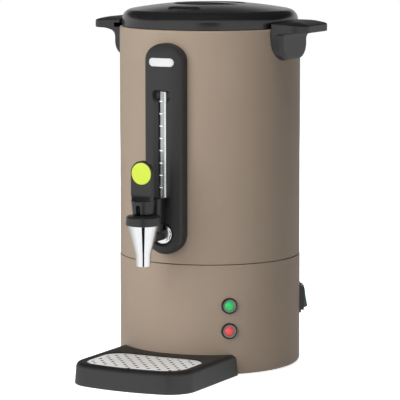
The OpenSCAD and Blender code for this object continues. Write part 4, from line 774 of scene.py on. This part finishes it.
def makeTap():
    t = SimpleNamespace(**tap)
    low, high = cadBoxMm("spout")
    foot = (*cadMiddle("spout")[:2], 0)
    mouth, rim, r = low[2], high[2], (high[0] - low[0]) / 2
    neck = mouth + t.nozzleHigh
    throatOut, throatHigh, throatLow = t.throat
    spout = roundedPath([(t.bore, mouth), (t.nozzle - t.nozzleTaper, mouth), (t.nozzle, neck), (r, rim),
                         (r - t.wall, rim), (t.bore + throatOut, neck + throatHigh),
                         (t.bore, neck + throatLow)], t.spoutRounds, steps=12)
    addPiece("spout_shell", turned(spout, t.steps, foot=foot), "chrome", "urn", ["spout"])

    low, high = cadBoxMm("bonnet")
    top, shelf = high[2], high[2] - t.bonnetLip
    a, b, c, d = (high[0] - low[0]) / 2 - np.array(t.bonnetInset)
    bonnet = roundedPath([(t.stemHole, low[2]), (t.spigot[0], low[2]), (t.spigot[1], rim), (a, rim),
                          (b, shelf), (c, shelf), (d, top), (t.stemHole, top)], t.bonnetRounds, steps=8)
    addPiece("bonnet_collar", turned(bonnet, t.steps, foot=foot), "tap_plastic", "urn", ["bonnet"])

    low, high = cadBoxMm("shank_ring")
    r, z = (high[0] - low[0]) / 2, (low[2] + high[2]) / 2
    depth = high[1] - low[1]
    # Domed: a quarter of an ellipse from the rim in to the bore
    turn = np.linspace(0, np.pi / 2, 16)
    dome = np.stack([t.ringBore + (r - t.ringBore) * np.cos(turn),
                     depth * (t.ringEdge + (1 - t.ringEdge) * np.sin(turn))], -1)
    ring = turned(np.concatenate([[(t.ringBore, 0), (r, 0)], dome]), 96, (0, -1, 0), (0, high[1], z))
    addPiece("shank_ring_polished", ring, "chrome", "urn", ["shank_ring"])


# Lever: a round foot that tapers to the bonnet, scooped into a flat paddle with a round top. The slot for the
# heel starts a little before the stem, and the eye takes the stem's head.
lever = dict(footIn=1.0, footTaper=2.0, taperPower=1.3, footRound=1.4, scoop=9.0, paddle=6.0, paddleRound=2.0,
             paddleFront=4.5, stepHeight=16.7, blendFrom=0.5, blendLong=7.0, slotWide=5.6, slotHigh=12.2,
             slotRound=2.2, slotEnds=(3.2, 30.0), slotBelow=2.0, eyeRadius=5.2, eyeHigh=5.7, eyeRound=0.3,
             discRounds=(0.1, 0.35), footGap=2.0, stepGap=0.6, scoopFrom=0.04, paddleGap=1.5, tipHalf=0.1414)


def makeLever():
    v = SimpleNamespace(**lever)
    low, high = cadBoxMm("tap_lever")
    tapY = -cadMiddle("spout")[1]
    topR = high[0]
    z0, top = low[2], high[2]
    step = z0 + v.stepHeight
    cz = top - topR
    # Heights: round the foot's edge, up the foot, along the scoop, up the paddle and over its round top
    turn = np.linspace(0, np.pi / 2, 7)
    crown = np.linspace(0, np.pi / 2, 26)[1:]
    z = np.concatenate([z0 + v.footRound * (1 - np.cos(turn)),
                        np.linspace(z0 + v.footGap, step - v.stepGap, 12),
                        step + v.scoop * (1 - np.cos(np.linspace(v.scoopFrom, np.pi / 2, 20))),
                        np.linspace(step + v.scoop + v.paddleGap, cz, 8), cz + topR * np.sin(crown)])
    part = np.clip((step - z) / v.stepHeight, 0, 1)
    foot = topR - v.footIn - v.footTaper * part ** v.taperPower
    foot[:len(turn)] -= v.footRound * (1 - np.sin(turn))
    # The scoop is a quarter circle, which bites sqrt(r^2 - (r - rise)^2) into the foot from both sides
    rise = np.clip(z - step, 0, v.scoop)
    bite = np.sqrt(np.maximum(v.scoop ** 2 - (v.scoop - rise) ** 2, 0))
    upper = z > step
    front = np.where(upper, tapY + v.paddleFront + v.scoop - bite, tapY + foot)
    back = np.where(upper, tapY + v.paddleFront - v.paddle - v.scoop + bite, tapY - foot)
    front = np.minimum(front, tapY + foot)
    back = np.maximum(back, tapY - foot)
    wide = np.where(z > cz, np.sqrt(np.maximum(topR ** 2 - (z - cz) ** 2, v.tipHalf ** 2)), topR)
    half = np.where(upper, np.minimum(foot + v.footIn * smoothStep((z - step) / v.scoop), wide), foot)
    blend = smoothStep((z - step + v.blendFrom) / v.blendLong)
    radius = foot * (1 - blend) + v.paddleRound * blend
    corners = np.stack([np.stack([half, -front], -1), np.stack([half, -back], -1),
                        np.stack([-half, -back], -1), np.stack([-half, -front], -1)], 1)
    plan = roundedPath(corners, radius[:, None] * np.ones(4), steps=14)
    points = np.concatenate([plan, np.repeat(z[:, None, None], plan.shape[1], 1)], -1)
    piece = addPiece("tap_lever_grip", lofted(points), "tap_plastic", "lever", ["tap_lever"], sharp=60)
    s, slotFoot, slotTop = v.slotWide / 2, z0 - v.slotBelow, z0 + v.slotHigh
    arch = roundedPath([(-s, slotFoot), (s, slotFoot), (s, slotTop), (-s, slotTop)],
                       [0, 0, v.slotRound, v.slotRound])
    ends = -tapY - np.array(v.slotEnds)[:, None] + 0 * arch[:, 0]
    carve(piece, lofted(np.stack([arch[:, 0] + 0 * ends, ends, arch[:, 1] + 0 * ends], -1)))
    eye = roundedPath([(0, -s), (v.eyeRadius, -s), (v.eyeRadius, s), (0, s)],
                      [0, v.eyeRound, v.eyeRound, 0], steps=4)
    carve(piece, turned(eye, 40, (1, 0, 0), (0, -tapY, z0 + v.eyeHigh)))
    shade(piece.data, sharp=50)

    low, high = cadBoxMm("lever_disc")
    r, depth = (high[0] - low[0]) / 2, high[1] - low[1]
    disc = roundedPath([(0, 0), (r, 0), (r, depth), (0, depth)], [0, *v.discRounds, 0])
    shape = turned(disc, 96, (0, -1, 0), (0, high[1], (low[2] + high[2]) / 2))
    addPiece("lever_disc_face", shape, "lime_disc", "lever", ["lever_disc"])


makeHousing()
makeBadge()
makeGauge()
print("gauge made")
makeTap()
makeLever()
print("tap made")

# Lid: a moulded shell with a soft shoulder, a round grip recess with a bar across it, and a vent slot. The
# spigot is its inner and outer radius and its depth. The bar's drops are how far below its top its waist
# begins and its sides end.
lid = dict(side=7.5, shoulder=13.0, wall=2.5, hemRounds=(0.4, 0.9), gripRadius=43.0, gripDepth=17.0,
           lipRound=2.4, lipRun=12.0, floorRound=3.0, spigot=(95.2, 97.7, 9.0), spigotUp=5.0, spigotRound=0.6,
           barHalf=10.0, barWaist=6.0, barDrop=0.5, barSink=0.05, barDrops=(8.5, 4.5),
           barRounds=(2.5, 1.8, 2.2), ventWide=39.0, ventBroad=8.0, ventY=-68.0, ventSteps=96, beadWide=1.7,
           ventAbove=5.0, beadHigh=0.8, beadGap=0.1, beadRoot=1.2, crownGap=1.0, barRoot=1.0, steps=224)


def domeAt(r, dome):
    # Height of the crown at a distance from the axis: a sphere, given as its radius and its centre's height
    return dome[1] + np.sqrt(dome[0] ** 2 - r ** 2)


def makeLid():
    d = SimpleNamespace(**lid)
    low, high = cadBoxMm("lid")
    top = high[2] + d.barDrop
    r = high[0]
    spigotIn, spigotOut, spigotDeep = d.spigot
    z0 = low[2] + spigotDeep
    side = z0 + d.side
    reach = r - d.shoulder
    lift = top - side - d.shoulder
    big = (reach ** 2 + lift ** 2) / (2 * lift) + d.shoulder
    dome = (big, top - big)
    a = np.arccos(reach / (big - d.shoulder))

    def skin(inset, lowest):
        # Shoulder and crown, drawn in by an inset
        turn = np.linspace(0, a, 20)
        bend = d.shoulder - inset
        shoulder = np.stack([reach + bend * np.cos(turn), side + bend * np.sin(turn)], -1)
        crown = np.linspace(reach + bend * np.cos(a), lowest, 24)[1:]
        return np.concatenate([shoulder, np.stack([crown, domeAt(crown, (big - inset, dome[1]))], -1)])

    g, w, e, run = d.gripRadius, d.wall, d.lipRound, d.lipRun
    floorZ = top - d.gripDepth
    lipZ = domeAt(g, dome)
    fall = run * g / big
    # The first and last corners only give the arcs beside them their direction, so they are left out again
    recess = roundedPath([(g + run, lipZ - fall), (g, lipZ), (g, floorZ), (0, floorZ), (0, floorZ - w),
                          (g + w, floorZ - w), (g + w, lipZ - w), (g + w + run, lipZ - w - fall)],
                         [0, e, d.floorRound, 0, 0, d.floorRound, 0, 0], steps=8)[9:-9]
    hem = roundedPath([(r - w, side), (r - w, z0), (r, z0), (r, side)], [0, *d.hemRounds, 0], steps=5)[6:-6]
    outline = np.concatenate([hem, skin(0, g + e + d.crownGap), recess, skin(w, g + w + d.crownGap)[::-1]])
    s0, s1 = z0 - spigotDeep, z0 + d.spigotUp
    ring = roundedPath([(spigotIn, s0), (spigotOut, s0), (spigotOut, s1), (spigotIn, s1)],
                       [d.spigotRound, d.spigotRound, 0, 0], steps=4)
    # The bar follows the crown, rounded above and waisted below
    x = np.linspace(-g - e, g + e, 61)
    h, n = d.barHalf, d.barWaist
    barTop = domeAt(np.hypot(x, h / 2), dome) - d.barSink - (d.barDrop - d.barSink) * (1 - (x / (g + e)) ** 4)
    y = np.array([n, n, h, h, -h, -h, -n, -n])
    z = barTop[:, None] - np.array([0, *d.barDrops, 0, 0, *d.barDrops[::-1], 0])
    z[:, [0, -1]] = floorZ - d.barRoot
    rounds = np.array([0, *d.barRounds, *d.barRounds[::-1], 0])
    section = roundedPath(np.stack([y + 0 * z, z], -1), rounds)
    bar = np.concatenate([np.repeat(x[:, None, None], section.shape[1], 1), section], -1)
    piece = addPiece("lid_shell", turned(outline, d.steps), "lid_plastic", "lid", ["lid"], sharp=50)
    addPiece("lid_grip_bar", lofted(bar), "lid_plastic", "lid", sharp=50)
    addPiece("lid_spigot", turned(ring, 128), "lid_plastic", "lid", sharp=50)
    # The vent: a stadium cut down through the crown, with a low bead round it
    turn = np.linspace(0, 2 * np.pi, d.ventSteps, endpoint=False)
    b = d.ventBroad / 2
    shift = (d.ventWide / 2 - b) * np.where(np.cos(turn) >= 0, 1, -1)
    plan = np.stack([shift + b * np.cos(turn), d.ventY + b * np.sin(turn)], -1)
    ends = [np.concatenate([plan, np.full((d.ventSteps, 1), z)], -1) for z in (side, top + d.ventAbove)]
    carve(piece, lofted(np.stack(ends)))
    across = np.linspace(0, np.pi, 9)
    out = b + d.beadGap + d.beadWide / 2 * (1 - np.cos(across))
    bx = shift[:, None] + out * np.cos(turn)[:, None]
    by = d.ventY + out * np.sin(turn)[:, None]
    bz = domeAt(np.hypot(bx, by), dome) - d.beadGap + d.beadHigh * np.sin(across)
    bead = np.stack([bx, by, bz], -1)
    bead = np.concatenate([bead, bead[:, [-1, 0]] - [0, 0, d.beadRoot]], 1)
    shape = bead.reshape(-1, 3), gridFaces(*bead.shape[:2], True, True)
    addPiece("vent_bead", shape, "lid_plastic", "lid")
    shade(piece.data, sharp=42)


# Side handles: a pillow-topped shelf on a bracket, worked out as a field of distances so that all meets
# softly. The steep factors bring the fields of slanting faces back to about true distances.
handles = dict(corner=20.0, shelf=14.0, edgeDrop=5.0, edgeClimb=2.2, pillowWide=34.0, edgeSoft=1.4,
               crownSteep=0.95, rootHalf=41.5, rootCorner=25.0, padOut=4.6, padHalf=35.0, padCorner=17.0,
               padRise=3.0, padSoft=4.0, shieldSteep=0.8, fillet=11.5, overlap=2.0, pocketWall=3.0,
               pocketIn=13.4, pocketSoft=1.2, slotRise=2.0, slotHigh=4.5, slotDeep=8.0, cutSoft=0.8,
               lidGap=0.6, innermost=95.0, margin=3.0, step=0.75)


def makeHandles():
    d = SimpleNamespace(**handles)
    low, high = cadBoxMm("handle_right")
    casingR, rim = cadBoxMm("upper_casing")[1][[0, 2]]
    tip, half, crest = high
    under = crest - d.shelf
    rootX = np.sqrt(casingR ** 2 - d.rootHalf ** 2)
    padX = casingR + d.padOut

    def field(x, y, z):
        far = np.abs(y)
        plan = cornerField(x - tip, far - half, d.corner)
        # The pillow rises from a level edge: with q the share of its width gone inwards, by 1 - (1 - q)^2
        inwards = np.clip(-plan / d.pillowWide, 0, 1)
        edge = crest - d.edgeDrop + d.edgeClimb * np.clip((tip - x) / (tip - rootX), 0, 1)
        crown = (z - edge - (crest - edge) * (1 - (1 - inwards) ** 2)) * d.crownSteep
        shelf = smoothMax(smoothMax(plan, crown, d.edgeSoft), under - z, d.edgeSoft)
        # The bracket: a round-bottomed shield that shrinks from the casing to the pad
        t = np.clip((x - rootX) / (padX - rootX), 0, 1)
        wide = d.rootHalf + (d.padHalf - d.rootHalf) * t
        corner = d.rootCorner + (d.padCorner - d.rootCorner) * t
        shield = cornerField(far - wide, low[2] + d.padRise * t - z, corner) * d.shieldSteep
        bracket = np.maximum(smoothMax(shield, x - padX, d.padSoft), z - under - d.overlap)
        # The fillet under the shelf is cut off flush with its ends
        body = smoothMax(smoothMin(shelf, bracket, d.fillet), far - half, d.cutSoft)
        pocket = np.maximum(np.maximum(plan, crown) + d.pocketWall, padX + d.pocketIn - x)
        body = smoothMax(body, -pocket, d.pocketSoft)
        radius = np.hypot(x, y)
        slot = np.maximum(np.abs(z - under - d.slotRise - d.slotHigh / 2) - d.slotHigh / 2,
                          np.maximum(radius - casingR - d.slotDeep, half / 2 - y))
        body = smoothMax(body, -slot, d.cutSoft)
        return smoothMax(body, casingR + d.lidGap * smoothStep(z - rim + 1) - radius, d.cutSoft)

    m = d.margin
    points, faces = fieldShape(field, (d.innermost, -half - m, low[2] - m), (tip + m, half + m, crest + m),
                               d.step)
    for name, way in (("right", 1), ("left", -1)):
        addPiece("handle_" + name + "_grip", (points * [way, way, 1], faces), "black_plastic", "urn",
                 ["handle_" + name], sharp=70)


# Drip tray: outlines drawn in step by step, up the wall, over the rim and down into the well. Its foot is
# pairs of inset and height, its rim pairs of inset and drop, and its well pairs of inset from the ledge and
# height above the floor.
tray = dict(bow=252.0, corner=34.0, draft=3.0, lean=1.8, edgeRound=6.0, rim=10.0, backGap=0.3, backRound=1.2,
            foot=((0.6, 0.0), (0.15, 0.6), (0.3, 2.0)), ledge=3.0, ledgeGap=0.3, floor=3.5,
            rimRound=((-1.5, 0), (-0.8, 0.1), (-0.3, 0.4), (0, 1.0)),
            well=((1.5, 2.0), (4.0, 0), (17.0, -0.4)), gridClear=0.5, gridCorner=26.0,
            gridBackCorner=22.0, gridForward=5.0, leastCorner=(6.0, 4.0))


def trayOutline(half, front, bow, corner, back, backCorner=None):
    # Straight sides, round corners and a bowed front. The back is a round hollow, or straight with round
    # corners of its own.
    x = half - corner
    small = bow - corner
    y = front - bow + np.sqrt(small ** 2 - x ** 2)
    lean = np.arcsin(x / small)
    a = np.linspace(0, np.pi / 2 - lean, 14)
    b = np.linspace(np.pi / 2 - lean, np.pi / 2 + lean, 41)[1:-1]
    corners = np.stack([x + corner * np.cos(a), y + corner * np.sin(a)], -1)
    bowed = np.stack([bow * np.cos(b), front - bow + bow * np.sin(b)], -1)
    if backCorner is None:
        t = np.linspace(-1, 1, 61) * np.arcsin(half / back)
        rear = back * np.stack([np.sin(t), np.cos(t)], -1)
    else:
        a = np.linspace(np.pi, 1.5 * np.pi, 15)
        turn = [backCorner - half, back + backCorner] + backCorner * np.stack([np.cos(a), np.sin(a)], -1)
        t = np.linspace(backCorner - half, half - backCorner, 33)[1:-1]
        rear = np.concatenate([turn, np.stack([t, back + 0 * t], -1), turn[::-1] * [-1, 1]])
    return np.concatenate([corners, bowed, corners[::-1] * [-1, 1], rear])


def gridOutline(inset):
    # The edge of the grid drawn in by an inset; its back stands a little forward of the solid's
    d = SimpleNamespace(**tray)
    low, high = cadBoxMm("drip_grid")
    return trayOutline(high[0] - inset, -low[1] - inset, d.bow - d.draft - d.rim - inset,
                       max(d.gridCorner - inset, d.leastCorner[0]), -high[1] + d.gridForward + inset,
                       max(d.gridBackCorner - inset, d.leastCorner[1]))


def stacked(rings):
    # Plan outlines with y forwards, each at its height, as sections in space
    return np.stack([np.concatenate([p * [1, -1], np.full((len(p), 1), z)], -1) for p, z in rings])


def makeTray():
    d = SimpleNamespace(**tray)
    low, high = cadBoxMm("drip_tray")
    half, front, top = high[0], -low[1], high[2]
    backR = cadBoxMm("base_casing")[1][0] + d.backGap
    e = d.edgeRound
    # Up the leaning wall and in over the rounded edge
    outer = list(d.foot)
    outer += [(d.lean + e * (1 - np.cos(t)), top - e + e * np.sin(t)) for t in np.linspace(0, np.pi / 2, 10)]
    rings = [(trayOutline(half - i, front - i, d.bow - i, d.corner - i,
                          backR + min(max(i - d.lean, 0), d.backRound)), z) for i, z in outer]
    # Then insets from the edge of the grid's place, down to its ledge and into the well
    ledgeZ = cadBoxMm("drip_grid")[0][2] - d.ledgeGap
    inner = [(i, top - drop) for i, drop in d.rimRound] + [(0, ledgeZ), (d.ledge, ledgeZ)]
    inner += [(d.ledge + i, d.floor + z) for i, z in d.well]
    rings += [(gridOutline(i - d.gridClear), z) for i, z in inner]
    addPiece("drip_tray_body", lofted(stacked(rings)), "tray_plastic", "tray", ["drip_tray"], sharp=45)


# Drip grid: a thin pressed sheet with a turned-down edge and staggered drain slots
grid = dict(sheet=0.4, edge=0.7, edgeIn=1.6, edgeEase=0.1, topRound=((0, 0.3), (0.1, 0.1), (0.3, 0)),
            slotWide=3.8, slotLong=6.4, pitchX=14.4, pitchY=8.8, columns=6, rows=8, margin=6.5, cut=2.0)


def makeGrid():
    d = SimpleNamespace(**grid)
    low, high = cadBoxMm("drip_grid")
    foot, top = low[2], high[2]
    under = top - d.sheet
    rings = [(d.edgeIn, under), (d.edge, under - d.edgeEase), (d.edge, foot), (0, foot)]
    rings += [(inset, top - drop) for inset, drop in d.topRound]
    shape = lofted(stacked([(gridOutline(i), z) for i, z in rings]))
    sheet = addPiece("drip_grid_sheet", shape, "polished_steel", "grid", ["drip_grid"], sharp=35)
    # Slots in staggered rows, those that would come too near the edge left out
    column, row = np.arange(-d.columns, d.columns + 1), np.arange(-d.rows, d.rows + 1)[:, None]
    x = (column + row % 2 / 2) * d.pitchX
    y = row * d.pitchY - (low[1] + high[1] - tray["gridForward"]) / 2 + 0 * x
    centres = np.stack([x.ravel(), y.ravel()], -1)
    limit = gridOutline(d.margin)
    ahead = np.roll(limit, -1, axis=0) - limit
    apart = centres[:, None] - limit
    # A point lies inside a convex outline where it is on the same side of every edge
    inside = (ahead[:, 0] * apart[..., 1] - ahead[:, 1] * apart[..., 0] >= 0).all(1)
    r, reach = d.slotWide / 2, (d.slotLong - d.slotWide) / 2
    a = np.linspace(0, 2 * np.pi, 20, endpoint=False)
    plan = np.stack([r * np.cos(a), r * np.sin(a) + reach * np.where(np.sin(a) >= 0, 1, -1)], -1)
    slots = [lofted(stacked([(plan + p, foot - d.cut), (plan + p, top + d.cut)])) for p in centres[inside]]
    carve(sheet, joined(*slots))
    shade(sheet.data, sharp=30)


# Pilot lamps: a moulded bezel, a satin collar in it and a tinted dome. Drops run from the bezel's face.
pilots = dict(bezel=9.75, bezelIn=0.7, bezelSide=1.0, bezelSink=0.6, bezelSeat=1.5, barrel=7.25, depth=14.0,
              high=2.5, bezelRounds=(0, 0, 0, 0.1, 0.5, 0.5, 0.2, 0.1), collar=8.3, collarClear=(0.15, 0.2),
              collarRound=0.1, collarDrops=(1.6, 0.9, 0.25, 0.8), lens=5.6, lensClear=0.1, lensEase=0.05,
              lensDrop=1.2, dome=2.8, steps=72)


def makePilots():
    d = SimpleNamespace(**pilots)
    baseR = cadBoxMm("base_casing")[1][0]
    r, h, face = d.lens, d.dome, d.high
    bezel = roundedPath([(r, -d.depth), (d.barrel, -d.depth), (d.barrel, -d.bezelSink),
                         (d.bezel, -d.bezelSink), (d.bezel, d.bezelSide), (d.bezel - d.bezelIn, face),
                         (d.collar, face), (r + d.lensClear, face - d.bezelSeat)], d.bezelRounds)
    inner, outer = r + d.collarClear[0], d.collar - d.collarClear[1]
    collar = np.stack([[inner, outer, outer, inner], face - np.array(d.collarDrops)], -1)
    collar = roundedPath(collar, d.collarRound, steps=3)
    # The dome is a cap of a ball, whose radius is (r^2 + h^2) / (2 h)
    capR = (r * r + h * h) / (2 * h)
    a = np.linspace(np.arcsin(r / capR), 0, 12)
    cap = np.stack([capR * np.sin(a), face - d.lensDrop + h - capR + capR * np.cos(a)], -1)
    lens = np.concatenate([[(0, -d.depth), (r - d.lensEase, -d.depth)], cap])
    for colour in ("green", "red"):
        lamp = colour + "_lamp_"
        x, y, z = cadMiddle(lamp + "lens")
        out = np.array([x, y, 0]) / np.hypot(x, y)
        place = d.steps, out, out * baseR + [0, 0, z]
        addPiece(lamp + "ring", turned(bezel, *place), "gloss_black", "urn", [lamp + "bezel"])
        addPiece(lamp + "collar", turned(collar, *place), "collar_grey", "urn")
        addPiece(lamp + "dome", turned(lens, *place), colour + "_lens", "urn", [lamp + "lens"])


def makeSpring():
    obj = linked("valve_spring_wire", nodes["valve_spring"].data.copy())
    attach(obj, "urn")
    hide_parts("valve_spring")
    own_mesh(obj)


makeLid()
makeHandles()
print("lid and handles made")
makeTray()
makeGrid()
makePilots()
makeSpring()
for nodeName, spec in softEdges.items():
    softened(nodeName, *spec)
print("tray, lamps and switch made")
